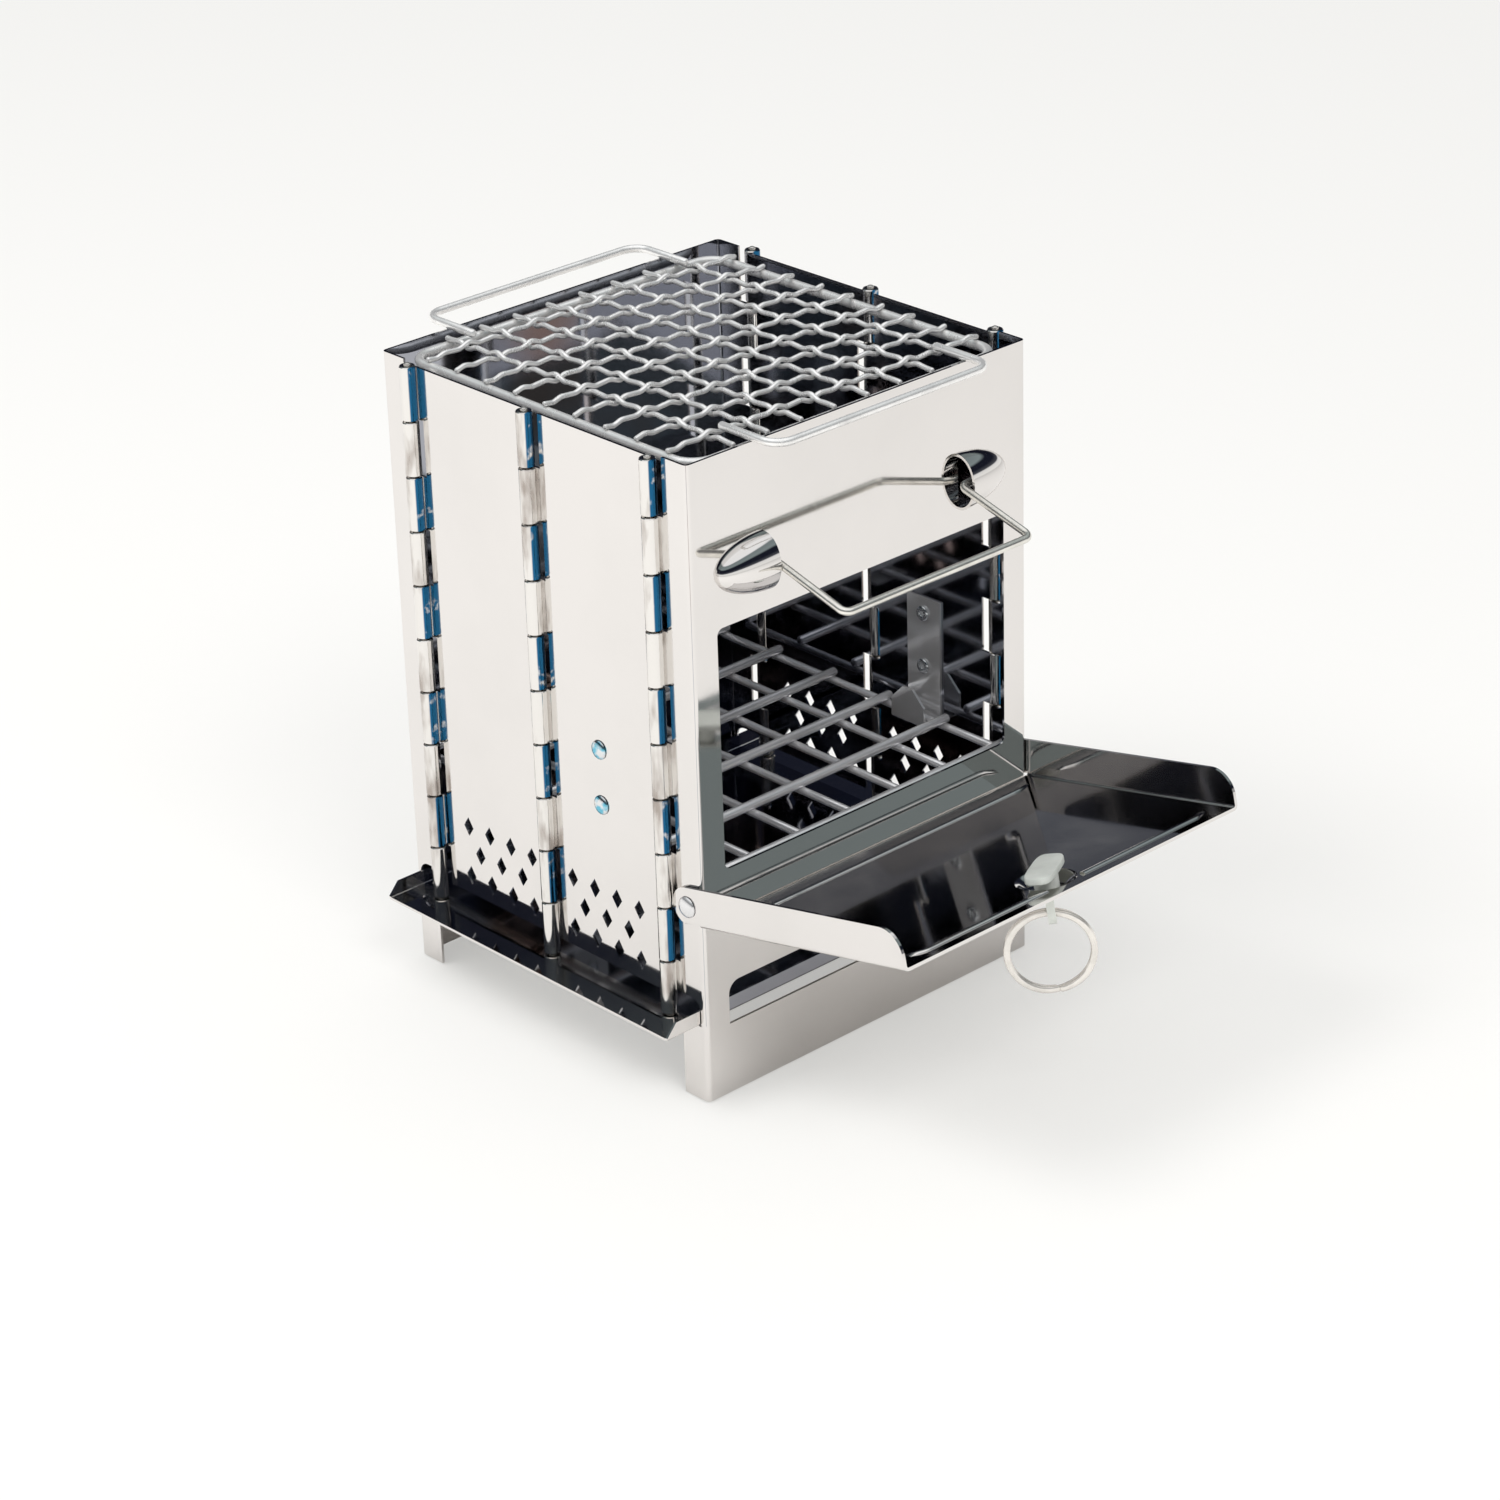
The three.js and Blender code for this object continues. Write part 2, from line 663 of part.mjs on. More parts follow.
// ---------------------------------------------------------------- feed flap, latch and ring

// Flap parts are drawn laid flat in the flap's own frame: x across, y towards the back of the
// plate, z up from the plate's outer face, with the pivot over y = 0.
function flapFrame() {
  const frame = new THREE.Group();
  const open = THREE.MathUtils.degToRad(flapOpenAngle);
  const rise = flapSheet + flapPivotRise;
  frame.position.set(0, -halfDepth + flapPivotInset - rise * Math.sin(open),
    flapPivotHeight - rise * Math.cos(open));
  frame.rotation.x = -open;
  return frame;
}

// the pressed dish under the latch, as a tapered plug between two heights
function dish(radius, floor, top, bottom) {
  return new THREE.CylinderGeometry(radius, floor, top - bottom, 20)
    .rotateX(Math.PI / 2)
    .translate(0, latchY, (top + bottom) / 2);
}

function flapSidePlate() {
  const pivotRise = flapSheet + flapPivotRise;
  const outline = new THREE.Shape();
  outline.moveTo(-flapLength, 0);
  outline.lineTo(0, pivotRise - flapHeel);
  outline.absarc(0, pivotRise, flapHeel, -Math.PI / 2, Math.PI / 2);
  outline.lineTo(-flapLength + flapCorner, flapSideHeight);
  outline.absarc(-flapLength + flapCorner, flapSideHeight - flapCorner, flapCorner,
    Math.PI / 2, Math.PI);
  return toSolid(sidePlate(outline, flapOuterX - flapSheet, flapSheet, 6));
}

function makeFlap(frame) {
  const open = THREE.MathUtils.degToRad(flapOpenAngle);
  const pivotRise = flapSheet + flapPivotRise;
  const heelY = -(flapPivotInset + flapStopGap - flapPivotRise * Math.sin(open)) / Math.cos(open);

  const side = flapSidePlate();
  const plateSolid = joined(
    box(-flapOuterX, flapOuterX, -flapLength, heelY, 0, flapSheet),
    dish(dishRadius, dishFloor, flapSheet, -dishDepth),
  ).add(side).add(side.mirror([1, 0, 0]));
  const dishHollow = dish(dishRadius - flapSheet, dishFloor - flapSheet / 2,
    flapSheet, -dishDepth + flapSheet);

  const beads = [heelY - beadRearInset, -flapLength + beadFrontInset].map((y) =>
    bar('x', beadRadius, -beadHalfLength, beadHalfLength, 8)
      .translate(0, y, flapSheet - beadRadius / 2));
  const beadSolid = cut(joined(...beads), bar('z', dishRadius, -dishDepth, 2 * flapSheet, 20)
    .translate(0, latchY, 0));

  const solid = cut(cut(plateSolid, dishHollow).add(beadSolid),
    bar('z', stemRadius + stemPlay, -2 * dishDepth, flapSheet, 14).translate(0, latchY, 0),
    bar('x', flapRivetRadius + rivetPlay, -flapOuterX - 1, flapOuterX + 1, 12)
      .translate(0, 0, pivotRise));
  addPiece(frame, 'feed_flap', toGeometry(solid), polishedSteel);
}

function makeFlapRivets(frame) {
  const pivotRise = flapSheet + flapPivotRise;
  const grip = flapOuterX - innerX + seatGap;
  const rivet = rivetSolid([
    ...domeProfile(flapRivetHead, flapRivetHeadHeight, 0), [flapRivetRadius, 0],
    [flapRivetRadius, -grip], [flapRivetTail, -grip],
    [flapRivetTail, -grip - flapRivetTailHeight], [0, -grip - flapRivetTailHeight],
  ], 12).translate(flapOuterX + seatGap / 2, 0, 0);
  addPiece(frame, 'right_flap_rivet', rivet.clone().translate(0, 0, pivotRise), polishedSteel);
  addPiece(frame, 'left_flap_rivet', rivet.rotateZ(Math.PI).translate(0, 0, pivotRise), polishedSteel);
}

function makeLatchCam(frame) {
  const halfLength = camLength / 2;
  const halfWidth = camWidth / 2;
  const nose = [
    [-halfLength, -halfWidth + camNose], [-halfLength + camNose, -halfWidth],
    [halfLength - camNose, -halfWidth], [halfLength, -halfWidth + camNose],
    [halfLength, halfWidth - camNose], [halfLength - camNose, halfWidth],
    [-halfLength + camNose, halfWidth], [-halfLength, halfWidth - camNose],
  ];
  const cam = cut(
    joined(
      plate(polygon(nose), camSheet).translate(0, 0, camBottom),
      bar('z', hubRadius, dishTop + seatGap, camBottom + camSheet / 2, 14),
    ),
    bar('z', stemEndRadius + stemPlay, dishTop, stemEnd + seatGap, 12),
  );
  const turn = THREE.MathUtils.degToRad(latchTurn);
  addPiece(frame, 'latch_cam', toGeometry(cam).rotateZ(turn).translate(0, latchY, 0), castSteel);
}

function makeLatchStem(frame) {
  const eye = new THREE.Shape();
  eye.moveTo(-eyeWidth / 2, eyeTop);
  eye.lineTo(-eyeWidth / 2, eyeMiddle);
  eye.absarc(0, eyeMiddle, eyeWidth / 2, Math.PI, 2 * Math.PI);
  eye.lineTo(eyeWidth / 2, eyeTop);
  const hole = new THREE.Path();
  hole.absarc(0, eyeMiddle, eyeHoleRadius, 0, 2 * Math.PI);
  eye.holes.push(hole);
  const stem = joined(
    frontPlate(eye, -eyeSheet / 2, eyeSheet, 6),
    bar('z', stemRadius, eyeTop - stemSink, dishTop, 12),
    bar('z', stemEndRadius, dishTop - stemSink, stemEnd, 12),
  );
  const turn = THREE.MathUtils.degToRad(ringTurn + 90);
  addPiece(frame, 'latch_stem', toGeometry(stem).rotateZ(turn).translate(0, latchY, 0), castSteel);
}

function makeSplitRing(frame) {
  frame.updateMatrixWorld(true);
  const hang = frame.localToWorld(new THREE.Vector3(0, latchY, eyeMiddle));
  const wide = ringWireWide / 2;
  const deep = ringWireDeep / 2;
  const section = [
    [-deep, -wide * ringRounding], [-deep * ringRounding, -wide], [deep * ringRounding, -wide],
    [deep, -wide * ringRounding], [deep, wide * ringRounding], [deep * ringRounding, wide],
    [-deep * ringRounding, wide], [-deep, wide * ringRounding], [-deep, -wide * ringRounding],
  ];
  const profile = section.map(([out, up]) => new THREE.Vector2(ringRadius + out, up));
  const ring = new THREE.LatheGeometry(profile, 24)
    .rotateZ(Math.PI / 2)
    .rotateZ(THREE.MathUtils.degToRad(ringTurn + 90))
    .translate(hang.x, hang.y, hang.z - ringHang - ringRadius);
  addPiece(stove, 'split_ring', ring, ringNickel);
}

// ---------------------------------------------------------------- assembly

makeFrontPanel();
makeBackPanel();
makeLeaves();
makeHingePins();
makeBrackets();
makeFuelGrid();
makeAshTray();
makeGrate();
makeBailHandle();

const flap = flapFrame();
stove.add(flap);
makeFlap(flap);
makeFlapRivets(flap);
makeLatchCam(flap);
makeLatchStem(flap);
makeSplitRing(flap);

// the origin goes under the middle of the whole object
stove.updateMatrixWorld(true);
const extent = new THREE.Box3().setFromObject(stove);
stove.position.y = -(extent.min.y + extent.max.y) / 2;

export default stove;
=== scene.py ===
"""Folding rocket stove in mirror-bright stainless sheet: the finished pieces round the CAD frame.

Lengths inside this file are millimetres in the stove's own frame, whose origin is on the
ground under the middle of the body; to_row() turns them into metres in the row frame.
"""
import math

import bmesh
import bpy
import numpy as np
from mathutils import Matrix, Vector
from mathutils.geometry import delaunay_2d_cdt


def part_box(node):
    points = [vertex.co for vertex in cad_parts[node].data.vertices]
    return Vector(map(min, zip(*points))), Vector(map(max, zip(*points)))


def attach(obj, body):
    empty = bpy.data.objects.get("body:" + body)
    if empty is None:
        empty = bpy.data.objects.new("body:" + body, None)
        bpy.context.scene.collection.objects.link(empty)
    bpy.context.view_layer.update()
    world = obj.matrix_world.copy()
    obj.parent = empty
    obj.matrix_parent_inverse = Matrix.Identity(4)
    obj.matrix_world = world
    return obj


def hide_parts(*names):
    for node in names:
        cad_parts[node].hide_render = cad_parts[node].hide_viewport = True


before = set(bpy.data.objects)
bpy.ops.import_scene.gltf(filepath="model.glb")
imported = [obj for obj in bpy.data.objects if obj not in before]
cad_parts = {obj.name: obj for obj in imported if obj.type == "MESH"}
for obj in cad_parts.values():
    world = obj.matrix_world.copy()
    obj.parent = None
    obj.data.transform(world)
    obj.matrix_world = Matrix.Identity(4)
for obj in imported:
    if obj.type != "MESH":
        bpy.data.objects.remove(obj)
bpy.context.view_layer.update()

# ------------------------------------------------------------------ sizes, millimetres

MM = 0.001


def node_box(node):
    """Lowest and highest corner of a CAD node in millimetres of the stove's own frame."""
    low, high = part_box(node)
    corners = np.array([low, high], float) / MM
    corners[:, 1] -= MID_Y
    return corners


MID_Y = sum(corner[1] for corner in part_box("ash_tray")) / 2 / MM
SHEET = 0.8
HALF_WIDTH = node_box("right_front_leaf")[0][0] + SHEET
HALF_DEPTH = node_box("back_panel")[1][1]
HEIGHT = node_box("front_panel")[1][2]

PANEL_BEND = 1.5
TRAY_BEND = 1.0
FLAP_BEND = 1.6

KNUCKLES = 10
BARREL = 2.5
BORE = 1.35
PIN = 1.1
PIN_TOP = node_box("right_middle_hinge_pin")[1][2]
HINGE_X = node_box("right_middle_hinge_pin")[1][0] - PIN
HINGE_Y = 52.2
HINGE_BOTTOM = node_box("right_middle_hinge_pin")[0][2]
HINGE_TOP = HEIGHT - 0.4
SPLIT = 0.5
SETBACK = BARREL + 1.3

LEAF_TOP = HEIGHT - 1.2
LEAF_BOTTOM = 30.6
VENT_ROWS = (4, 3, 4)
VENT_WIDTH, VENT_HEIGHT = 4.4, 6.4
VENT_PITCH, VENT_ROW_PITCH, VENT_LOWEST, VENT_FROM_MIDDLE = 9.8, 8.25, 37.0, 24.0

DOOR = (57.5, 72.7, 148.0, 2.2)           # half width, bottom, top, corner
AIR = (57.7, 22.6, 36.2, 4.0)
NOTCH = (24.4, 33.0, 8.0, 4.0)            # bottom, top, depth, corner

BAIL_Z, BAIL_OUT, BAIL_LEG, BAIL_DROOP = 163.6, 2.4, 29.3, 15.5
BAIL_HALF, BAIL_PIN, BAIL_WIRE, BAIL_BEND = 37.1, 12.0, 1.2, 2.6
LUG_MOUTH = BAIL_HALF + BAIL_WIRE + 0.3
LUG_LONG, LUG_TALL, LUG_BULGE = 18.6, 8.7, 6.8

FLAP_TURN = math.radians(12)
FLAP_PIVOT = (-HALF_DEPTH + 4.8, 63.2)    # y, z
FLAP_RISE = 6.4                           # pivot over the plate's outer face
FLAP_HALF = node_box("feed_flap")[1][0]
FLAP_FRONT, FLAP_REAR, FLAP_SHEET = -89.0, -4.07, 1.0
FLAP_SIDE, FLAP_HEEL, FLAP_CORNER = 12.3, 6.0, 8.0
LATCH_Y = FLAP_FRONT + 12.2
DISH, DISH_FLOOR, DISH_DEEP = 9.0, 5.5, 2.6

TRAY_LOW, TRAY_TOP = node_box("ash_tray")[:, 2]
TRAY_REACH = node_box("ash_tray")[1][0]
TRAY_HALF = node_box("ash_tray")[1][1]
TRAY_CHAMFER = 3.6

BRACKET_Y, BRACKET_TOP, BRACKET_WIDE = -24.0, 105.5, 14.0
BRACKET_SEAT, BRACKET_REACH, BRACKET_LIP = 66.2, 7.4, 12.0
RIVET_Z = (100.3, 82.5)

GRID_PITCH_ACROSS, GRID_PITCH_ALONG = 24.8, 20.3
MESH_PITCH, MESH_WIRE, MESH_MID = 13.0, 0.8, 199.2
MESH_CRIMP = 0.95


def to_row(points):
    """Millimetres in the stove's frame to metres in the row frame."""
    placed = np.asarray(points, float).reshape(-1, 3).copy()
    placed[:, 1] += MID_Y
    return placed * MM


# ------------------------------------------------------------------ mesh making


def piece(name, points, faces, body, finish, replaces=(), normals=None, sharp=None):
    """One finished piece from its points and faces, riding on a CAD body."""
    mesh = bpy.data.meshes.new(name)
    mesh.from_pydata(to_row(points).tolist(), [], faces)
    mesh.materials.append(finish)
    mesh.shade_smooth()
    if normals is not None:
        mesh.normals_split_custom_set(normals)
    elif sharp is not None:
        mesh.set_sharp_from_angle(angle=math.radians(sharp))
    mesh.validate(clean_customdata=False)
    made = bpy.data.objects.new(name, mesh)
    bpy.context.scene.collection.objects.link(made)
    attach(made, body)
    if replaces:
        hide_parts(*replaces)
    return made


class Shape:
    """Points and faces of several solids that make one piece."""

    def __init__(self):
        self.points, self.faces, self.count = [], [], 0

    def add(self, points, faces):
        points = np.asarray(points, float).reshape(-1, 3)
        self.points.append(points)
        self.faces += [[i + self.count for i in face] for face in faces]
        self.count += len(points)
        return self

    def piece(self, name, body, slot, finish, replaces=(), sharp=35):
        return piece(name, np.concatenate(self.points), self.faces, body, finish,
                     replaces, sharp=sharp)


def grid_faces(rows, columns, wrap_rows=False, wrap_columns=False):
    """Quads of a grid of points numbered row by row, joined round where a direction wraps."""
    i = np.arange(rows if wrap_rows else rows - 1)[:, None]
    j = np.arange(columns if wrap_columns else columns - 1)[None, :]
    down, right = (i + 1) % rows, (j + 1) % columns
    quads = np.stack([i * columns + j, i * columns + right, down * columns + right,
                      down * columns + j + 0 * i], -1)
    return quads.reshape(-1, 4).tolist()


def outward(points, faces):
    """Faces of a closed solid, turned round where its signed volume comes out negative."""
    volume = 0.0
    for face in faces:
        a = points[face[0]]
        for p, q in zip(face[1:-1], face[2:]):
            volume += np.dot(a, np.cross(points[p], points[q]))
    return [face[::-1] for face in faces] if volume < 0 else faces


def rounded_path(corners, bend, closed=False, steps=7):
    """Points of a path through corners, each corner a circular arc of the bend radius."""
    corners = np.asarray(corners, float)
    count = len(corners)
    path = [] if closed else [corners[0]]
    for k in range(0 if closed else 1, count if closed else count - 1):
        here = corners[k]
        back = corners[k - 1] - here
        ahead = corners[(k + 1) % count] - here
        back /= np.linalg.norm(back)
        ahead /= np.linalg.norm(ahead)
        half = math.acos(np.clip(np.dot(back, ahead), -1, 1)) / 2
        middle = (back + ahead) / np.linalg.norm(back + ahead)
        centre = here + middle * bend / math.sin(half)
        start = here + back * bend / math.tan(half) - centre
        end = here + ahead * bend / math.tan(half) - centre
        sweep = math.pi - 2 * half
        share = np.linspace(0, 1, steps)[:, None]
        arc = (np.sin((1 - share) * sweep) * start + np.sin(share * sweep) * end) / math.sin(sweep)
        path += list(centre + arc)
    if not closed:
        path.append(corners[-1])
    return np.array(path)


def tube(path, radius, across, closed=False, sides=14, section=None):
    """Round wire along a flat path: each point carries a ring in the plane of the path's
    normal and the fixed direction across; open ends close in a small dome."""
    path = np.asarray(path, float)
    across = np.asarray(across, float)
    if closed:
        run = np.roll(path, -1, 0) - np.roll(path, 1, 0)
    else:
        run = np.gradient(path, axis=0)
    run /= np.linalg.norm(run, axis=1)[:, None]
    side = np.cross(run, across)
    side /= np.linalg.norm(side, axis=1)[:, None]
    up = np.cross(side, run)
    wide = np.full(len(path), 1.0)
    if not closed:
        dome = np.array([0.0, 0.55, 0.85, 1.0])
        reach = radius * np.array([0.0, 0.12, 0.35, 0.7])
        start = path[0] + run[0] * reach[:, None]
        end = path[-1] - run[-1] * reach[::-1, None]
        path = np.concatenate([start, path[1:-1], end])
        wide = np.concatenate([dome, wide[1:-1], dome[::-1]])
        side = np.concatenate([np.repeat(side[:1], 4, 0), side[1:-1], np.repeat(side[-1:], 4, 0)])
        up = np.concatenate([np.repeat(up[:1], 4, 0), up[1:-1], np.repeat(up[-1:], 4, 0)])
    if section is None:
        turn = np.arange(sides) * 2 * math.pi / sides
        section = radius * np.stack([np.cos(turn), np.sin(turn)], 1)
    ring = (section[None, :, 0, None] * side[:, None] + section[None, :, 1, None] * up[:, None])
    points = (path[:, None] + ring * wide[:, None, None]).reshape(-1, 3)
    count, sides = len(path), len(section)
    faces = grid_faces(count, sides, closed, True)
    if not closed:
        first, last = points[:sides].mean(0), points[-sides:].mean(0)
        faces = faces[sides:-sides]
        points = np.concatenate([points[sides:-sides], [first, last]])
        faces = [[i - sides for i in face] for face in faces]
        tip, tail, far = len(points) - 2, len(points) - 1, len(points) - 2 - sides
        faces += [[tip, (k + 1) % sides, k] for k in range(sides)]
        faces += [[tail, far + k, far + (k + 1) % sides] for k in range(sides)]
    return points, outward(points, faces)


def revolve(profile, centre, axis, sides=28):
    """A profile of (radius, station) turned round an axis through centre. A profile that
    starts and ends on the axis closes at poles; any other closes on itself."""
    profile = np.asarray(profile, float)
    axis = np.asarray(axis, float) / np.linalg.norm(axis)
    helper = np.array([0.0, 0.0, 1.0]) if abs(axis[2]) < 0.9 else np.array([1.0, 0.0, 0.0])
    first = np.cross(helper, axis)
    first /= np.linalg.norm(first)
    second = np.cross(axis, first)
    turn = np.arange(sides) * 2 * math.pi / sides
    spoke = np.cos(turn)[:, None] * first + np.sin(turn)[:, None] * second
    capped = profile[0, 0] == 0 and profile[-1, 0] == 0
    body = profile[1:-1] if capped else profile
    points = (np.asarray(centre, float) + body[:, None, 0, None] * spoke[None]
              + body[:, None, 1, None] * axis).reshape(-1, 3)
    faces = grid_faces(len(body), sides, not capped, True)
    if capped:
        poles = np.asarray(centre, float) + profile[[0, -1], 1][:, None] * axis
        points = np.concatenate([points, poles])
        head, tail, far = len(points) - 2, len(points) - 1, len(points) - 2 - sides
        faces += [[head, (k + 1) % sides, k] for k in range(sides)]
        faces += [[tail, far + k, far + (k + 1) % sides] for k in range(sides)]
    return points, outward(points, faces)


# ------------------------------------------------------------------ sheet metal


def arc(centre, radius, start, end, steps=8):
    """Points of an arc in degrees, ends included."""
    turn = np.radians(np.linspace(start, end, steps))
    return [(centre[0] + radius * math.cos(t), centre[1] + radius * math.sin(t)) for t in turn]


def inside(points, loops):
    """Even-odd test of points against all loops at once."""
    hit = np.zeros(len(points), bool)
    for loop in loops:
        a = np.asarray(loop, float)
        b = np.roll(a, -1, 0)
        x, y = points[:, :1], points[:, 1:]
        spans = (a[:, 1] > y) != (b[:, 1] > y)
        rise = np.where(b[:, 1] == a[:, 1], 1.0, b[:, 1] - a[:, 1])
        cross = a[:, 0] + (y - a[:, 1]) * (b[:, 0] - a[:, 0]) / rise
        hit ^= (np.sum(spans & (x < cross), axis=1) % 2).astype(bool)
    return hit


def flat_pattern(loops, lines):
    """Triangles of the flat blank inside the loops, split along lines of constant u."""
    points, edges = [], []
    for loop in loops:
        first = len(points)
        points += [tuple(p) for p in loop]
        count = len(loop)
        edges += [(first + k, first + (k + 1) % count) for k in range(count)]
    everything = np.array(points)
    low, high = everything[:, 1].min() - 1, everything[:, 1].max() + 1
    for u in lines:
        edges.append((len(points), len(points) + 1))
        points += [(u, low), (u, high)]
    flat, _, triangles, *_ = delaunay_2d_cdt([Vector(p) for p in points], edges, [], 0, 1e-5)
    flat = np.array([tuple(p) for p in flat])
    triangles = np.array([t for t in triangles if len(t) == 3])
    middle = flat[triangles].mean(1)
    triangles = triangles[inside(middle, loops)]
    a, b, c = (flat[triangles[:, k]] for k in range(3))
    area = (b[:, 0] - a[:, 0]) * (c[:, 1] - a[:, 1]) - (b[:, 1] - a[:, 1]) * (c[:, 0] - a[:, 0])
    triangles[area < 0] = triangles[area < 0][:, ::-1]
    triangles = triangles[np.abs(area) > 1e-7]
    used, flipped = np.unique(triangles, return_inverse=True)
    return flat[used], flipped.reshape(-1, 3)


def sheet_metal(name, loops, lines, surface, thickness, body, finish, replaces=()):
    """A blank laid on surface(u, t), which gives the outer face's points and its outward
    normals; the inner face lies one thickness behind and cut edges join the two."""
    flat, triangles = flat_pattern(loops, lines)
    outer, normal = surface(flat[:, 0], flat[:, 1])
    inner = outer - normal * thickness
    count = len(flat)
    a, b, c = (outer[triangles[:, k]] for k in range(3))
    facing = np.sum(np.cross(b - a, c - a) * normal[triangles[:, 0]], axis=1).sum()
    if facing < 0:
        triangles = triangles[:, ::-1]
    sides = np.concatenate([triangles[:, [0, 1]], triangles[:, [1, 2]], triangles[:, [2, 0]]])
    keys = np.sort(sides, 1)
    _, index, times = np.unique(keys, axis=0, return_index=True, return_counts=True)
    rim = sides[index[times == 1]]
    walls = np.stack([rim[:, 1], rim[:, 0], rim[:, 0] + count, rim[:, 1] + count], 1)
    faces = triangles.tolist() + (triangles[:, ::-1] + count).tolist() + walls.tolist()
    points = np.concatenate([outer, inner])
    p, q, r = points[walls[:, 0]], points[walls[:, 1]], points[walls[:, 2]]
    edge_normal = np.cross(q - p, r - p)
    edge_normal /= np.maximum(np.linalg.norm(edge_normal, axis=1), 1e-9)[:, None]
    normals = np.concatenate([
        normal[triangles].reshape(-1, 3),
        -normal[triangles[:, ::-1]].reshape(-1, 3),
        np.repeat(edge_normal, 4, 0),
    ])
    return piece(name, points, faces, body, finish, replaces, normals=normals.tolist())


def channel(half, bend, place):
    """Surface of a channel with a flat web and two upright walls: u runs along the web from
    its middle, round each bend and up the wall; t runs along the channel."""
    web = half - bend
    quarter = bend * math.pi / 2

    def surface(u, t):
        side, run = np.sign(u), np.abs(u)
        turn = np.clip((run - web) / bend, 0, math.pi / 2)
        up = np.clip(run - web - quarter, 0, None)
        across = side * (np.minimum(run, web) + bend * np.sin(turn))
        rise = bend * (1 - np.cos(turn)) + up
        out = np.stack([side * np.sin(turn), -np.cos(turn)], 1)
        return place(across, rise, t), place(out[:, 0], out[:, 1], np.zeros_like(t), True)

    steps = np.linspace(0, quarter, 9)
    lines = [s * (web + step) for s in (-1, 1) for step in steps]
    return surface, lines


def wall_place(half, bend):
    """u on a channel for a height on its upright wall."""
    return lambda height: half - bend + bend * math.pi / 2 + height - bend


# ------------------------------------------------------------------ materials


def add_node(tree, kind, settings=None, sockets=None):
    """A node with its settings; each socket takes a value or a link from another node."""
    made = tree.nodes.new(kind)
    for key, value in (settings or {}).items():
        setattr(made, key, value)
    for key, value in (sockets or {}).items():
        if isinstance(value, bpy.types.NodeSocket):
            tree.links.new(value, made.inputs[key])
        else:
            made.inputs[key].default_value = value
    return made


class Value:
    """A number on a socket, with arithmetic."""

    def __init__(self, finish, socket):
        self.finish, self.socket = finish, socket

    def _math(self, operation, *inputs):
        made = self.finish.node("ShaderNodeMath", {"operation": operation},
                                dict(enumerate(inputs)))
        return Value(self.finish, made.outputs[0])

    def __add__(self, other):
        return self._math("ADD", self, other)

    def __sub__(self, other):
        return self._math("SUBTRACT", self, other)

    def __rsub__(self, other):
        return self._math("SUBTRACT", other, self)

    def __mul__(self, other):
        return self._math("MULTIPLY", self, other)

    def __truediv__(self, other):
        return self._math("DIVIDE", self, other)

    __radd__, __rmul__ = __add__, __mul__

    def absolute(self):
        return self._math("ABSOLUTE", self)

    def fraction(self):
        return self._math("FRACT", self)

    def below(self, other):
        return self._math("LESS_THAN", self, other)

    def above(self, other):
        return self._math("GREATER_THAN", self, other)

    def ramp(self, low, high):
        """0 at low, 1 at high, straight between."""
        made = self.finish.node("ShaderNodeMapRange", {"clamp": True},
                                {"Value": self, "From Min": low, "From Max": high})
        return Value(self.finish, made.outputs[0])


class Finish:
    """One procedural material on a metal shader."""

    def __init__(self, name, **settings):
        self.material = bpy.data.materials.new(name)
        self.material.use_nodes = True
        self.tree = self.material.node_tree
        self.shader = self.tree.nodes["Principled BSDF"]
        for socket, value in settings.items():
            self.shader.inputs[socket.replace("_", " ")].default_value = value
        self.coordinates = self.node("ShaderNodeTexCoord").outputs["Object"]

    def node(self, kind, settings=None, sockets=None):
        bare = {key: value.socket if isinstance(value, Value) else value
                for key, value in (sockets or {}).items()}
        return add_node(self.tree, kind, settings, bare)

    def place(self):
        """x, y and z on the piece, in metres."""
        split = self.node("ShaderNodeSeparateXYZ", sockets={0: self.coordinates})
        return [Value(self, split.outputs[k]) for k in range(3)]

    def stretched(self, scale):
        made = self.node("ShaderNodeMapping", {"vector_type": "POINT"},
                         {"Vector": self.coordinates, "Scale": scale})
        return made.outputs[0]

    def noise(self, scale, detail=3.0, roughness=0.5, stretch=(1, 1, 1)):
        made = self.node("ShaderNodeTexNoise", {},
                         {"Vector": self.stretched(stretch), "Scale": scale, "Detail": detail,
                          "Roughness": roughness})
        return Value(self, made.outputs["Fac"])

    def mix(self, factor, first, second):
        """Colour from first to second by factor."""
        made = self.node("ShaderNodeMix", {"data_type": "RGBA"}, {0: factor, 6: first, 7: second})
        return made.outputs[2]

    def colour(self, socket):
        self.tree.links.new(socket, self.shader.inputs["Base Color"])
        return self

    def rough(self, value):
        self.tree.links.new(value.socket, self.shader.inputs["Roughness"])
        return self

    def bump(self, height, distance, strength=1.0):
        made = self.node("ShaderNodeBump", {}, {"Height": height, "Distance": distance,
                                                "Strength": strength})
        self.tree.links.new(made.outputs[0], self.shader.inputs["Normal"])
        return self


def tone(red, green, blue):
    return (red, green, blue, 1.0)


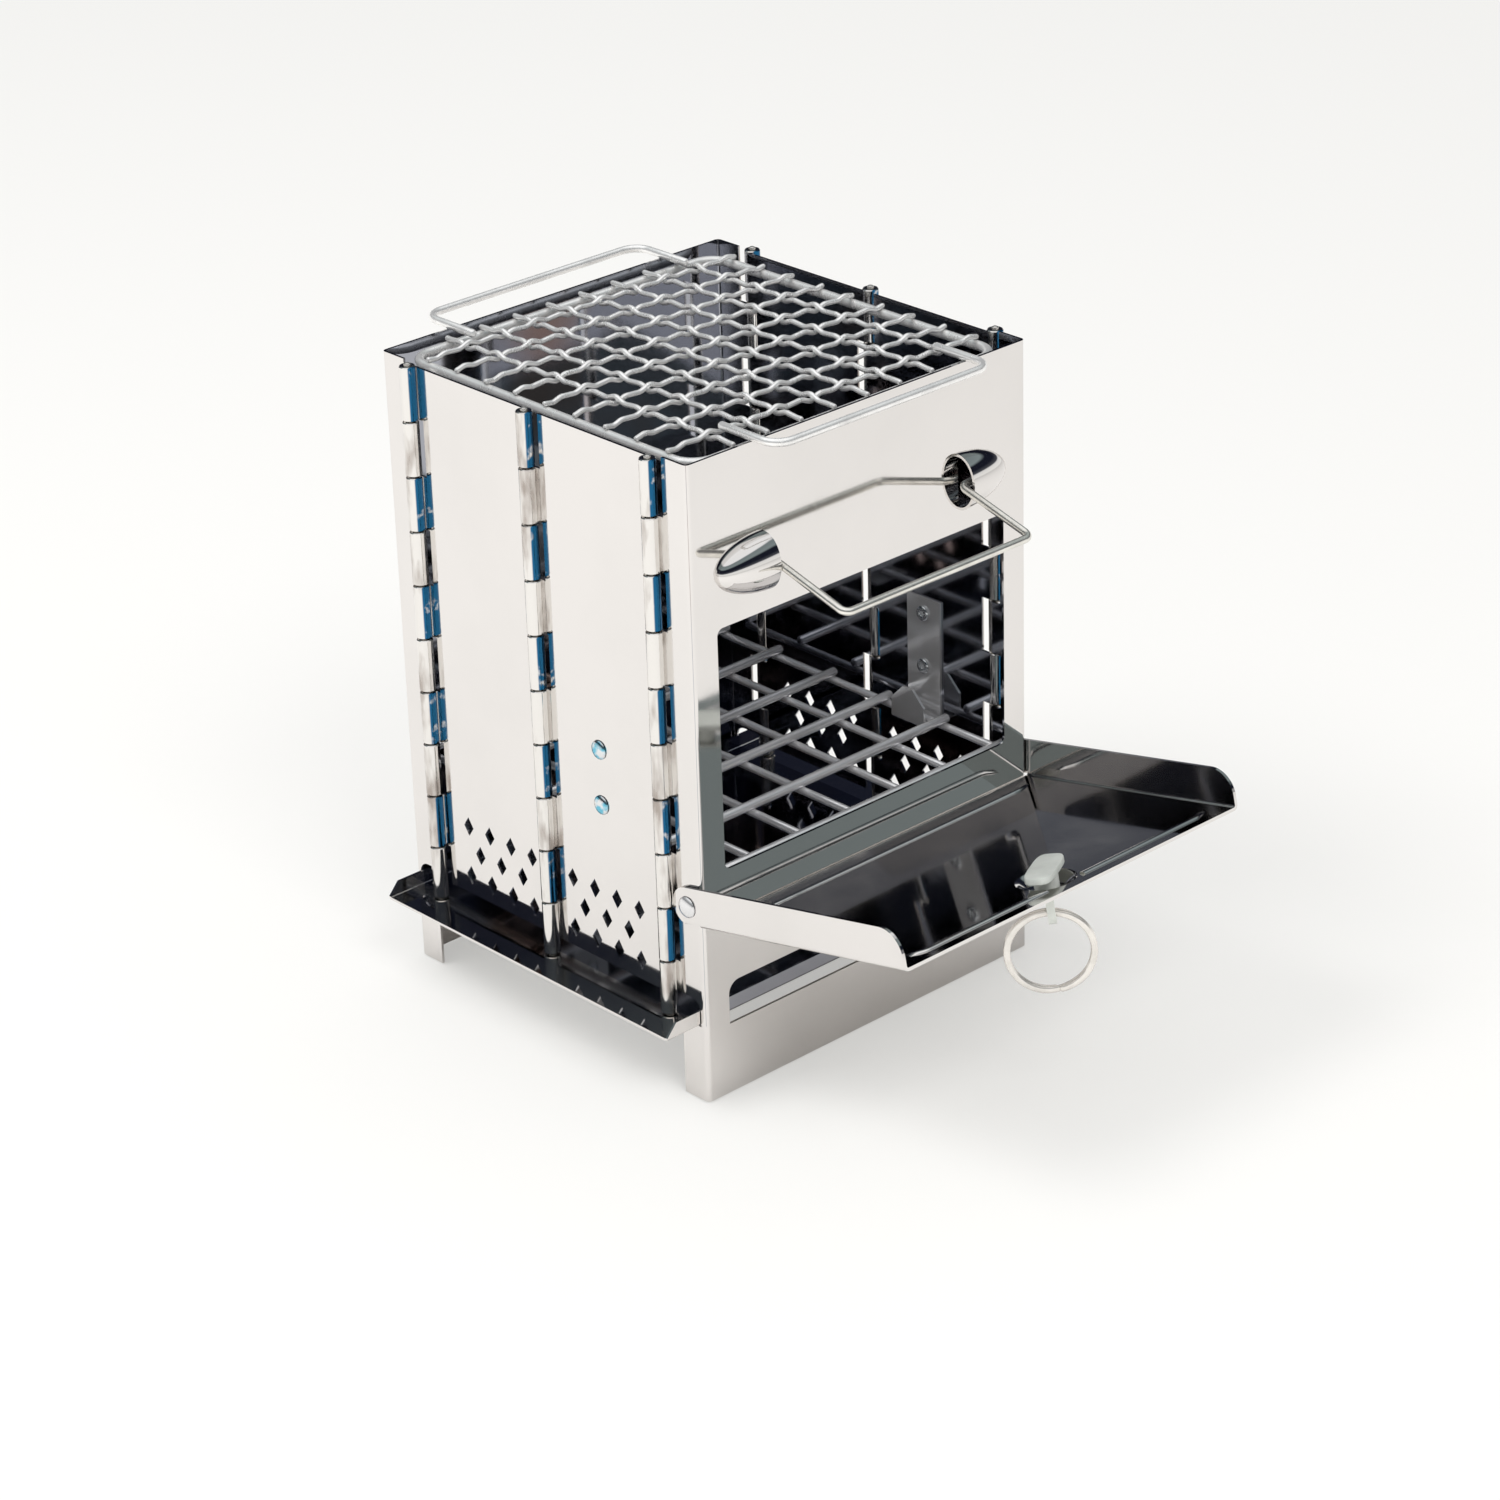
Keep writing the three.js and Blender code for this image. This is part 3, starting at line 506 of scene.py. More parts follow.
def bright_sheet():
    """Mirror-finished stainless: nearly even, with faint rolling lines, hand smudges and a
    slow waviness that bends reflections a little; inside the body a darker tone is painted shade
    for the dim mirrored interior, with heat-browned patches."""
    finish = Finish("mirror_sheet", Metallic=1.0)
    smudge = finish.noise(26, 4, 0.55).ramp(0.42, 0.72)
    rolling = finish.noise(420, 2, 0.5, (1, 1, 0.04))
    x, y, z = finish.place()
    front = (y - MID_Y * MM).absolute()
    painted_shade_and_heat_inside = (x.absolute().below((HALF_WIDTH - SHEET / 2) * MM)
              * front.below((HALF_DEPTH - SHEET / 2) * MM) * z.above(TRAY_LOW * MM + 0.0004))
    outer = finish.mix(smudge * 0.5, tone(0.785, 0.762, 0.742), tone(0.73, 0.71, 0.69))
    heated = finish.noise(17, 2, 0.5).ramp(0.56, 0.68)
    # Painted shade: inside the body the sheet gets a darker tone standing in for its dim mirrored
    # reflections, with heat-browned patches mixed in.
    inner = finish.mix(heated * 0.7, tone(0.36, 0.37, 0.41), tone(0.36, 0.23, 0.17))
    finish.colour(finish.mix(painted_shade_and_heat_inside, outer, inner))
    finish.rough(0.035 + smudge * 0.05 + rolling * 0.02)
    finish.bump(finish.noise(9, 1, 0.4), 0.0006, 0.25)
    return finish.material


def hearth_sheet():
    """Brushed sheet of the brackets and of the flap's rivets."""
    finish = Finish("inner_sheet", Metallic=0.7)
    smudge = finish.noise(30, 4, 0.6).ramp(0.4, 0.75)
    finish.colour(finish.mix(smudge, tone(0.78, 0.78, 0.79), tone(0.64, 0.63, 0.62)))
    finish.rough(0.10 + smudge * 0.08)
    finish.bump(finish.noise(10, 1, 0.4), 0.0006, 0.25)
    return finish.material


def barrel_steel(name, film):
    """Rolled hinge barrels: drawn lines round the barrel, brown upright streaks painted as the
    reflected stripes of the polished barrels, and, on one sheet's knuckles, leftovers of blue
    protective film down one side."""
    finish = Finish(name, Metallic=1.0)
    reflection_streak = finish.noise(160, 3, 0.6, (1, 1, 0.25)).ramp(0.5, 0.68)
    # Painted reflection: brown upright streaks stand in for the dark stripes mirrored in the
    # polished barrels.
    steel = finish.mix(reflection_streak * 0.75, tone(0.80, 0.78, 0.75), tone(0.30, 0.245, 0.21))
    if film:
        along = finish.place()[1]
        row = (along - (MID_Y - HINGE_Y) * MM) / (HINGE_Y * MM) + 0.5
        ahead = 0.5 - row.fraction()
        side = ahead.ramp(0.036, 0.040)
        worn = finish.noise(240, 3, 0.6).ramp(0.24, 0.40)
        steel = finish.mix(side * worn, steel, tone(0.016, 0.115, 0.24))
    finish.colour(steel)
    finish.rough(0.12 + reflection_streak * 0.2)
    finish.bump(finish.noise(900, 2, 0.5, (1, 1, 0.1)), 0.00012, 0.35)
    return finish.material


def drawn_wire(name, colour, roughness, shine=1.0):
    """Drawn stainless wire with fine lengthways lines and dull patches."""
    finish = Finish(name, Metallic=shine)
    dull = finish.noise(130, 3, 0.6).ramp(0.4, 0.75)
    lines = finish.noise(1500, 2, 0.5)
    darker = tuple(c * 0.72 for c in colour)
    finish.colour(finish.mix(dull * 0.7, tone(*colour), tone(*darker)))
    finish.rough(roughness + dull * 0.12 + lines * 0.05)
    finish.bump(lines, 0.00008, 0.3)
    return finish.material


def welded_grid_wire():
    """Bright grid bars with duller, darker patches spread at random."""
    finish = Finish("grid_wire", Metallic=0.7)
    dull = finish.noise(90, 3, 0.6).ramp(0.35, 0.8)
    finish.colour(finish.mix(dull * 0.8, tone(0.98, 0.98, 0.99), tone(0.74, 0.72, 0.71)))
    finish.rough(0.14 + dull * 0.14)
    finish.bump(finish.noise(1300, 2, 0.5), 0.00008, 0.25)
    return finish.material


def rivet_steel():
    """Rivet heads with a bluish film tint in patches."""
    finish = Finish("rivet_steel", Metallic=1.0)
    x = finish.place()[0]
    tint = finish.noise(420, 2, 0.5).ramp(0.40, 0.58) * x.absolute().above(HALF_WIDTH * MM)
    finish.colour(finish.mix(tint, tone(0.74, 0.76, 0.77), tone(0.16, 0.52, 0.68)))
    finish.rough(0.16 + tint * 0.1)
    finish.bump(finish.noise(1500, 2, 0.5), 0.0001, 0.3)
    return finish.material


def cast_latch_metal():
    """Matte cast latch with a sandy grain."""
    finish = Finish("cast_latch", Metallic=0.35)
    grain = finish.noise(1400, 4, 0.6)
    patch = finish.noise(160, 2, 0.5).ramp(0.35, 0.7)
    finish.colour(finish.mix(patch * 0.6, tone(0.74, 0.77, 0.72), tone(0.58, 0.60, 0.565)))
    finish.rough(0.36 + grain * 0.2)
    finish.bump(grain, 0.00015, 0.5)
    return finish.material


sheet_finish = bright_sheet()
hearth_finish = hearth_sheet()
film_barrel = barrel_steel("barrel_with_film", True)
plain_barrel = barrel_steel("barrel_plain", False)
grate_wire = drawn_wire("grate_wire", (0.95, 0.945, 0.93), 0.2, 0.62)
bail_wire = drawn_wire("bail_wire", (0.86, 0.84, 0.78), 0.14, 0.85)
pin_wire = drawn_wire("pin_wire", (0.62, 0.60, 0.57), 0.2)
grid_wire = welded_grid_wire()
ring_metal = drawn_wire("ring_nickel", (0.84, 0.81, 0.76), 0.14, 0.7)
rivet_metal = rivet_steel()
cast_metal = cast_latch_metal()

SHEET_SLOT, WIRE_SLOT, CAST_SLOT, RING_SLOT = (
    "polished_sheet", "steel_wire", "cast_latch", "nickel_ring")

# ------------------------------------------------------------------ camera, studio


def set_camera():
    """Camera from its place, azimuth, elevation and roll, with the frame's small offset."""
    azimuth, elevation, roll = map(math.radians, (-42.8, 24.53, -1.61))
    back = Vector((math.sin(azimuth) * math.cos(elevation),
                   -math.cos(azimuth) * math.cos(elevation), math.sin(elevation)))
    right = Vector((math.cos(azimuth), math.sin(azimuth), 0))
    up = back.cross(right)
    tilted_right = right * math.cos(roll) + up * math.sin(roll)
    tilted_up = up * math.cos(roll) - right * math.sin(roll)
    camera = bpy.data.cameras.new("camera")
    camera.sensor_width = 36
    camera.lens = 104.33
    camera.shift_x = -0.02
    camera.shift_y = -0.0673
    camera.clip_end = 20
    seen = bpy.data.objects.new("camera", camera)
    turned = Matrix((tilted_right, tilted_up, back)).transposed().to_4x4()
    turned.translation = Vector(to_row([-794.7, -887.7, 645.4])[0])
    seen.matrix_world = turned
    bpy.context.scene.collection.objects.link(seen)
    bpy.context.scene.camera = seen


def softbox(name, place, aim, width, height, watts, colour=(1, 1, 1)):
    """A rectangular lamp at place, facing aim; metres."""
    lamp = bpy.data.lights.new(name, "AREA")
    lamp.shape = "RECTANGLE"
    lamp.size, lamp.size_y = width, height
    lamp.energy = watts
    lamp.color = colour
    held = bpy.data.objects.new(name, lamp)
    held.visible_glossy = False
    facing = (Vector(aim) - Vector(place)).to_track_quat("-Z", "Y")
    held.matrix_world = Matrix.Translation(place) @ facing.to_matrix().to_4x4()
    bpy.context.scene.collection.objects.link(held)
    return held


PAPER_GLOW = 0.42
MIRRORED = (                              # height of the direction, colour the mirrors see
    (0.0, (0.93, 0.93, 0.91, 1)), (0.115, (0.84, 0.84, 0.84, 1)), (0.16, (0.07, 0.075, 0.09, 1)),
    (0.30, (0.010, 0.012, 0.022, 1)), (0.48, (0.010, 0.012, 0.022, 1)),
    (0.56, (0.24, 0.29, 0.30, 1)), (0.74, (0.20, 0.24, 0.25, 1)),
    (0.79, (0.95, 0.96, 0.98, 1)), (1.0, (0.97, 0.97, 0.98, 1)))


def set_studio():
    """Pale floor, soft lamps and a world that is pale low down and dim overhead."""
    scene = bpy.context.scene
    scene.view_settings.view_transform = "Standard"
    edge = 4.0
    floor = bpy.data.meshes.new("floor")
    floor.from_pydata([(-edge, -edge, -0.0004), (edge, -edge, -0.0004), (edge, edge, -0.0004),
                       (-edge, edge, -0.0004)], [], [(0, 1, 2, 3)])
    paper = bpy.data.materials.new("pale_paper")
    paper.use_nodes = True
    tree = paper.node_tree
    tree.nodes.clear()
    diffuse = add_node(tree, "ShaderNodeBsdfDiffuse", sockets={"Color": (0.88, 0.87, 0.85, 1)})
    glow = add_node(tree, "ShaderNodeEmission", sockets={"Color": (0.965, 0.968, 0.945, 1)})
    path = add_node(tree, "ShaderNodeLightPath")
    share = add_node(tree, "ShaderNodeMath", {"operation": "MULTIPLY"},
                     {0: path.outputs["Is Camera Ray"], 1: PAPER_GLOW})
    blend = add_node(tree, "ShaderNodeMixShader", sockets={
        0: share.outputs[0], 1: diffuse.outputs[0], 2: glow.outputs[0]})
    add_node(tree, "ShaderNodeOutputMaterial", sockets={0: blend.outputs[0]})
    floor.materials.append(paper)
    ground = bpy.data.objects.new("floor", floor)
    scene.collection.objects.link(ground)

    world = bpy.data.worlds.new("studio")
    world.use_nodes = True
    scene.world = world
    tree = world.node_tree
    direction = add_node(tree, "ShaderNodeTexCoord")
    split = add_node(tree, "ShaderNodeSeparateXYZ", sockets={0: direction.outputs["Generated"]})
    ramp = add_node(tree, "ShaderNodeValToRGB", sockets={0: split.outputs["Z"]})
    marks = ramp.color_ramp
    marks.elements[0].position, marks.elements[0].color = MIRRORED[0]
    marks.elements[1].position, marks.elements[1].color = MIRRORED[-1]
    for position, colour in MIRRORED[1:-1]:
        marks.elements.new(position).color = colour
    path = add_node(tree, "ShaderNodeLightPath")
    chosen = add_node(tree, "ShaderNodeMix", {"data_type": "RGBA"}, {
        0: path.outputs["Is Glossy Ray"], 6: (0.76, 0.76, 0.765, 1), 7: ramp.outputs[0]})
    tree.links.new(chosen.outputs[2], tree.nodes["Background"].inputs["Color"])

    softbox("key", (-0.9, 0.5, 1.5), (0, 0, 0.1), 0.8, 0.6, 11.5)
    softbox("fill", (-0.4, -1.2, 1.5), (0, 0, 0.1), 0.8, 0.6, 10)


set_camera()
set_studio()

# ------------------------------------------------------------------ panels


def knuckle_spans(parity):
    """Bottom and top of every second knuckle."""
    pitch = (HINGE_TOP - HINGE_BOTTOM) / KNUCKLES
    return [(HINGE_BOTTOM + i * pitch + SPLIT / 2, HINGE_BOTTOM + (i + 1) * pitch - SPLIT / 2)
            for i in range(parity, KNUCKLES, 2)]


def hinge_edge(axis, back, parity, lowest, highest):
    """Sheet edge beside a hinge, upwards: tabs reach the axis at the sheet's knuckles."""
    edge = []
    for low, high in knuckle_spans(parity):
        low, high = max(low, lowest), min(high, highest)
        edge += [(back, low), (axis, low), (axis, high), (back, high)]
    return edge


def panel_outline():
    """Flat blank of a panel: feet, notches for the tray and hinge tabs on both flanges."""
    wall = wall_place(HALF_WIDTH, PANEL_BEND)
    free = wall(HALF_DEPTH - HINGE_Y - SETBACK)
    axis = wall(HALF_DEPTH - HINGE_Y)
    low, high, deep, corner = NOTCH
    right = [(free, 0), (free, low), (free - deep, low), (free - deep, high - corner)]
    right += arc((free - deep + corner, high - corner), corner, 180, 90)[1:]
    right += [(free, high)] + hinge_edge(axis, free, 0, high, HEIGHT) + [(free, HEIGHT)]
    left = [(-u, t) for u, t in reversed(right)]
    return right + left


def opening(half, bottom, top, corner, square_below=False):
    """A round-cornered opening about the middle."""
    lower = ([(-half, bottom), (half, bottom)] if square_below else
             arc((-half + corner, bottom + corner), corner, 180, 270)
             + arc((half - corner, bottom + corner), corner, 270, 360))
    upper = (arc((half - corner, top - corner), corner, 0, 90)
             + arc((-half + corner, top - corner), corner, 90, 180))
    return lower + upper


def panel_place(side):
    """Turns channel coordinates into a panel standing at the front (-1) or the back (1)."""
    def place(across, rise, along, direction=False):
        depth = -side * rise if direction else side * (HALF_DEPTH - rise)
        return np.stack([across, depth, along], 1)
    return place


def lug_hole(side):
    """Half ellipse where a lug is pressed out of the front panel."""
    turn = np.radians(np.linspace(-90, 90, 25))
    x = side * (LUG_MOUTH + LUG_LONG * np.cos(turn))
    return list(zip(x, BAIL_Z + LUG_TALL * np.sin(turn)))


def make_panels():
    surface, lines = channel(HALF_WIDTH, PANEL_BEND, panel_place(-1))
    loops = [panel_outline(), opening(*DOOR), opening(*AIR, square_below=True),
             lug_hole(1), lug_hole(-1)]
    sheet_metal("front_panel_sheet", loops, lines, surface, SHEET, "front_wall",
                sheet_finish, ["front_panel"])
    surface, lines = channel(HALF_WIDTH, PANEL_BEND, panel_place(1))
    sheet_metal("back_panel_sheet", [panel_outline()], lines, surface, SHEET, "back_wall",
                sheet_finish, ["back_panel"])


def make_lugs():
    """Each lug is half a dome over its half ellipse: the height falls from the crest as the
    root of one less the squared distance, and the open edge faces the middle."""
    rho = np.sin(np.linspace(0, 1, 15) * math.pi / 2)[:, None]
    turn = np.radians(np.linspace(-90, 90, 33))[None, :]
    height = LUG_BULGE * np.sqrt(np.clip(1 - rho ** 2.0, 0, 1)) + 0 * turn
    for name, side in (("right", 1), ("left", -1)):
        def skin(shrink, lift):
            x = side * (LUG_MOUTH + (LUG_LONG - shrink) * rho * np.cos(turn))
            z = BAIL_Z + (LUG_TALL - shrink) * rho * np.sin(turn)
            y = -HALF_DEPTH - height * (LUG_BULGE - lift) / LUG_BULGE
            return np.stack([x, y, z], -1)
        rows, columns = rho.shape[0], turn.shape[1]
        outer, inner = skin(0, 0).reshape(-1, 3), skin(SHEET, SHEET).reshape(-1, 3)
        inner[-columns:, 1] += SHEET * 0.5
        count = len(outer)
        top = grid_faces(rows, columns)
        faces = top + [[i + count for i in face][::-1] for face in top]
        mouth = [r * columns for r in range(rows - 1, -1, -1)]
        mouth += [r * columns + columns - 1 for r in range(0, rows)]
        base = [(rows - 1) * columns + c for c in range(columns)]
        for strip in (mouth, base):
            faces += [[a, b, b + count, a + count] for a, b in zip(strip[:-1], strip[1:])]
        points = np.concatenate([outer, inner])
        shape = Shape().add(points, faces)
        made = shape.piece(f"{name}_bail_lug", "front_wall", SHEET_SLOT, sheet_finish, sharp=50)
        fix_normals(made)


def fix_normals(made):
    """Weld doubled points and turn every face of a closed piece outwards."""
    shell = bmesh.new()
    shell.from_mesh(made.data)
    bmesh.ops.remove_doubles(shell, verts=shell.verts, dist=1e-6)
    bmesh.ops.recalc_face_normals(shell, faces=shell.faces)
    shell.to_mesh(made.data)
    shell.free()


def leaf_surface(side):
    def surface(u, t):
        count = len(u)
        points = np.stack([np.full(count, side * HALF_WIDTH), u, t], 1)
        return points, np.tile([side * 1.0, 0.0, 0.0], (count, 1))
    return surface


def vent(centre, height):
    return [(centre - VENT_WIDTH / 2, height), (centre, height - VENT_HEIGHT / 2),
            (centre + VENT_WIDTH / 2, height), (centre, height + VENT_HEIGHT / 2)]


def make_leaves():
    for level, start, start_parity, end, end_parity, middle in (
            ("front", -HINGE_Y, 1, 0.0, 0, -VENT_FROM_MIDDLE),
            ("rear", 0.0, 1, HINGE_Y, 1, VENT_FROM_MIDDLE)):
        near, far = start + SETBACK, end - SETBACK
        outline = [(near, LEAF_BOTTOM), (far, LEAF_BOTTOM)]
        outline += hinge_edge(end, far, end_parity, LEAF_BOTTOM, LEAF_TOP)
        outline += [(far, LEAF_TOP), (near, LEAF_TOP)]
        outline += hinge_edge(start, near, start_parity, LEAF_BOTTOM, LEAF_TOP)[::-1]
        loops = [outline]
        for row, count in enumerate(VENT_ROWS):
            for i in range(count):
                loops.append(vent(middle + (i - (count - 1) / 2) * VENT_PITCH,
                                  VENT_LOWEST + row * VENT_ROW_PITCH))
        for hand, side in (("right", 1), ("left", -1)):
            node = f"{hand}_{level}_leaf"
            sheet_metal(f"{node}_sheet", loops, [], leaf_surface(side), SHEET, node,
                        sheet_finish, [node])


def make_hinges():
    """Barrels are thick rings with eased ends; each sheet owns every second one."""
    owners = {"front": (-HINGE_Y, "front_wall", "front_leaf"),
              "middle": (0.0, "front_leaf", "rear_leaf"),
              "rear": (HINGE_Y, "back_wall", "rear_leaf")}
    ease = 0.25
    for hand, side in (("right", 1), ("left", -1)):
        for place, (y, even, odd) in owners.items():
            for parity, owner, finish in ((0, even, plain_barrel), (1, odd, film_barrel)):
                body = owner if owner.endswith("wall") else f"{hand}_{owner}"
                barrels = Shape()
                for low, high in knuckle_spans(parity):
                    profile = [(BORE, low), (BARREL - ease, low), (BARREL, low + ease),
                               (BARREL, high - ease), (BARREL - ease, high), (BORE, high)]
                    barrels.add(*revolve(profile, (side * HINGE_X, y, 0), (0, 0, 1), 24))
                barrels.piece(f"{hand}_{place}_barrels_{'even' if parity == 0 else 'odd'}",
                              body, SHEET_SLOT, finish, sharp=40)
            owner = {"front": "front_wall", "middle": f"{hand}_front_leaf",
                     "rear": "back_wall"}[place]
            profile = [(0, PIN_TOP), (PIN * 0.55, PIN_TOP - 0.08), (PIN * 0.9, PIN_TOP - 0.35),
                       (PIN, PIN_TOP - 0.7), (PIN, HINGE_BOTTOM + 0.3),
                       (PIN * 0.8, HINGE_BOTTOM), (0, HINGE_BOTTOM)]
            pin = Shape().add(*revolve(profile, (side * HINGE_X, y, 0), (0, 0, 1), 20))
            pin.piece(f"{hand}_{place}_pin", owner, WIRE_SLOT, pin_wire,
                      [f"{hand}_{place}_hinge_pin"])


# ------------------------------------------------------------------ brackets, grid, tray


def strip(name, path, widths, place, thickness, body, replaces):
    """A bent strip: the path is carried across the width, which may narrow along it."""
    path = np.asarray(path, float)
    run = np.gradient(path, axis=0)
    run /= np.linalg.norm(run, axis=1)[:, None]
    out = np.stack([run[:, 1], -run[:, 0]], 1)
    edges = []
    for offset in (0, thickness):
        for share in (-0.5, 0.5):
            edges.append(np.column_stack([path + out * offset, share * widths]))
    ring = np.stack([edges[0], edges[1], edges[3], edges[2]], 1)
    points = place(ring.reshape(-1, 3))
    count = len(path)
    faces = grid_faces(count, 4, False, True)
    faces += [[3, 2, 1, 0], [4 * count - 4 + k for k in range(4)]]
    Shape().add(points, outward(points, faces)).piece(
        name, body, SHEET_SLOT, hearth_finish, replaces, sharp=40)


def rivet_profile(grip, head, head_height, shank, tail, tail_height, hollow=0.0):
    """(radius, station) of a rivet, crown first; a hollow tail is rolled over and open."""
    turn = np.radians(np.linspace(90, 8, 7))
    crown = [(0.0, grip + head_height)]
    crown += [(head * math.cos(t), grip + head_height * math.sin(t)) for t in turn[1:]]
    roll = np.radians(np.linspace(60, -200, 9))
    profile = crown + [(head, grip), (shank, grip), (shank, 0.0)]
    if hollow:
        middle, thick = (tail + hollow) / 2, (tail - hollow) / 2
        profile += [(middle + thick * math.cos(t), -tail_height / 2 + tail_height / 2 * math.sin(t))
                    for t in roll]
        profile += [(hollow, grip * 0.4), (0.0, grip * 0.4)]
    else:
        profile += [(tail, 0.0), (tail, -tail_height * 0.5), (tail * 0.8, -tail_height),
                    (0.0, -tail_height)]
    return profile


def make_brackets():
    face = HALF_WIDTH - SHEET
    reach = face - BRACKET_REACH
    shelf = BRACKET_SEAT - SHEET
    corners = [(face, BRACKET_TOP), (face, shelf), (reach - SHEET, shelf),
               (reach - SHEET, shelf + BRACKET_LIP)]
    path = rounded_path(corners, 1.2, steps=6)
    top = path[:, 1] - (shelf + BRACKET_LIP - 5)
    narrow = np.where(path[:, 0] < reach, np.clip(top, 0, 5), 0)
    lip_points = np.array([(reach - SHEET, shelf + BRACKET_LIP - 5)])
    path = np.insert(path, len(path) - 1, lip_points, 0)
    narrow = np.insert(narrow, len(narrow) - 1, 0)
    widths = BRACKET_WIDE - 2 * narrow
    for hand, side in (("right", 1), ("left", -1)):
        def place(ring, side=side):
            return np.stack([side * ring[:, 0], BRACKET_Y + ring[:, 2], ring[:, 1]], 1)
        strip(f"{hand}_bracket_strip", path, widths, place, SHEET, f"{hand}_front_leaf",
              [f"{hand}_grid_bracket"])
    rear_face = HALF_DEPTH - SHEET
    corners = [(rear_face, BRACKET_TOP), (rear_face, shelf), (rear_face - BRACKET_REACH, shelf)]
    path = rounded_path(corners, 1.2, steps=6)
    strip("rear_bracket_strip", path, np.full(len(path), BRACKET_WIDE),
          lambda ring: np.stack([ring[:, 2], ring[:, 0], ring[:, 1]], 1), SHEET, "back_wall",
          ["rear_grid_bracket"])

    profile = rivet_profile(2 * SHEET + 0.15, 3.0, 1.1, 1.5, 2.4, 0.95, 0.8)
    seats = {"right": ((face - SHEET, BRACKET_Y), (1, 0, 0), "right_front_leaf"),
             "left": ((-face + SHEET, BRACKET_Y), (-1, 0, 0), "left_front_leaf"),
             "rear": ((0, rear_face - SHEET), (0, 1, 0), "back_wall")}
    for hand, ((x, y), axis, body) in seats.items():
        for level, z in zip(("upper", "lower"), RIVET_Z):
            Shape().add(*revolve(profile, (x, y, z), axis, 32)).piece(
                f"{hand}_{level}_rivet", body, SHEET_SLOT, rivet_metal,
                [f"{hand}_bracket_rivet_{level}"], sharp=50)


def make_fuel_grid():
    """Six cross bars welded over seven bars along the stove."""
    low = BRACKET_SEAT + 0.3 + 1.25
    high = low + 1.25 + 1.5 - 0.3
    reach_x, reach_y = node_box("fuel_grid")[1][:2]
    grid = Shape()
    for i in range(7):
        x = (i - 3) * GRID_PITCH_ALONG
        grid.add(*tube([(x, y, low) for y in np.linspace(-reach_y, reach_y, 8)], 1.25, (0, 0, 1)))
    for i in range(6):
        y = (i - 2.5) * GRID_PITCH_ACROSS
        grid.add(*tube([(x, y, high) for x in np.linspace(-reach_x, reach_x, 8)], 1.5, (0, 0, 1)))
    grid.piece("fuel_grid_bars", "fuel_grid", WIRE_SLOT, grid_wire, ["fuel_grid"], sharp=60)


def make_ash_tray():
    def place(across, rise, along, direction=False):
        return np.stack([along, across, rise if direction else TRAY_LOW + rise], 1)
    surface, lines = channel(TRAY_HALF, TRAY_BEND, place)
    wall = wall_place(TRAY_HALF, TRAY_BEND)
    top = wall(TRAY_TOP - TRAY_LOW)
    start = wall(TRAY_BEND)
    loop = [(start, -TRAY_REACH), (top, -TRAY_REACH + TRAY_CHAMFER),
            (top, TRAY_REACH - TRAY_CHAMFER), (start, TRAY_REACH),
            (-start, TRAY_REACH), (-top, TRAY_REACH - TRAY_CHAMFER),
            (-top, -TRAY_REACH + TRAY_CHAMFER), (-start, -TRAY_REACH)]
    sheet_metal("ash_tray_sheet", [loop], lines, surface, SHEET, "ash_tray",
                sheet_finish, ["ash_tray"])


# ------------------------------------------------------------------ grate and bail


def make_grate():
    low, high = node_box("grate_frame")
    wire = (high[2] - low[2]) / 2
    x, y, z = high[0] - wire, high[1] - wire, high[2] - wire
    loop = rounded_path([(-x, -y, z), (x, -y, z), (x, y, z), (-x, y, z)], 7.5, True, 12)
    Shape().add(*tube(loop, wire, (0, 0, 1), True, 18)).piece(
        "grate_rim", "cooking_grate", WIRE_SLOT, grate_wire, ["grate_frame"])

    reach_x, reach_y = node_box("grate_mesh")[1][:2]
    mesh = Shape()

    def crimped(reach, offset, sign):
        """Heights along a wire that goes over and under its crossings: a short hump at each
        one, a slight dip on either side of it, and a straight run between."""
        run = np.linspace(-reach, reach, 181)
        place = (run - offset) / MESH_PITCH
        crossing = np.round(place)
        far = np.abs(place - crossing) * MESH_PITCH
        hump = 1.08 * np.exp(-(far / 2.1) ** 2) - 0.22 * np.exp(-((far - 4.0) / 1.5) ** 2)
        over = np.where(crossing % 2 == 0, sign, -sign)
        held = np.clip((reach - np.abs(run)) / 6, 0, 1)
        return run, MESH_MID + MESH_CRIMP * over * hump * held - 0.25 * (1 - held)

    for j in range(9):
        run, height = crimped(reach_x, MESH_PITCH / 2, (-1) ** j)
        path = np.stack([run, np.full_like(run, (j - 4) * MESH_PITCH), height], 1)
        mesh.add(*tube(path, MESH_WIRE, (0, 1, 0), sides=10))
    for i in range(8):
        run, height = crimped(reach_y, 0.0, -(-1) ** i)
        path = np.stack([np.full_like(run, (i - 3.5) * MESH_PITCH), run, height], 1)
        mesh.add(*tube(path, MESH_WIRE, (1, 0, 0), sides=10))
    mesh.piece("grate_woven_mesh", "cooking_grate", WIRE_SLOT, grate_wire, ["grate_mesh"], 60)

    for name, side in (("front", -1), ("rear", 1)):
        low, high = node_box(f"grate_{name}_handle")
        wire = (high[2] - low[2]) / 2
        ends = sorted((low[1], high[1]), key=abs)
        x, z = high[0] - wire, high[2] - wire
        inner, outer = ends[0], ends[1] - side * wire
        path = rounded_path([(-x, inner, z), (-x, outer, z), (x, outer, z), (x, inner, z)],
                            6.0, steps=10)
        Shape().add(*tube(path, wire, (0, 0, 1), sides=16)).piece(
            f"{name}_grate_handle", "cooking_grate", WIRE_SLOT, grate_wire,
            [f"grate_{name}_handle"], 60)


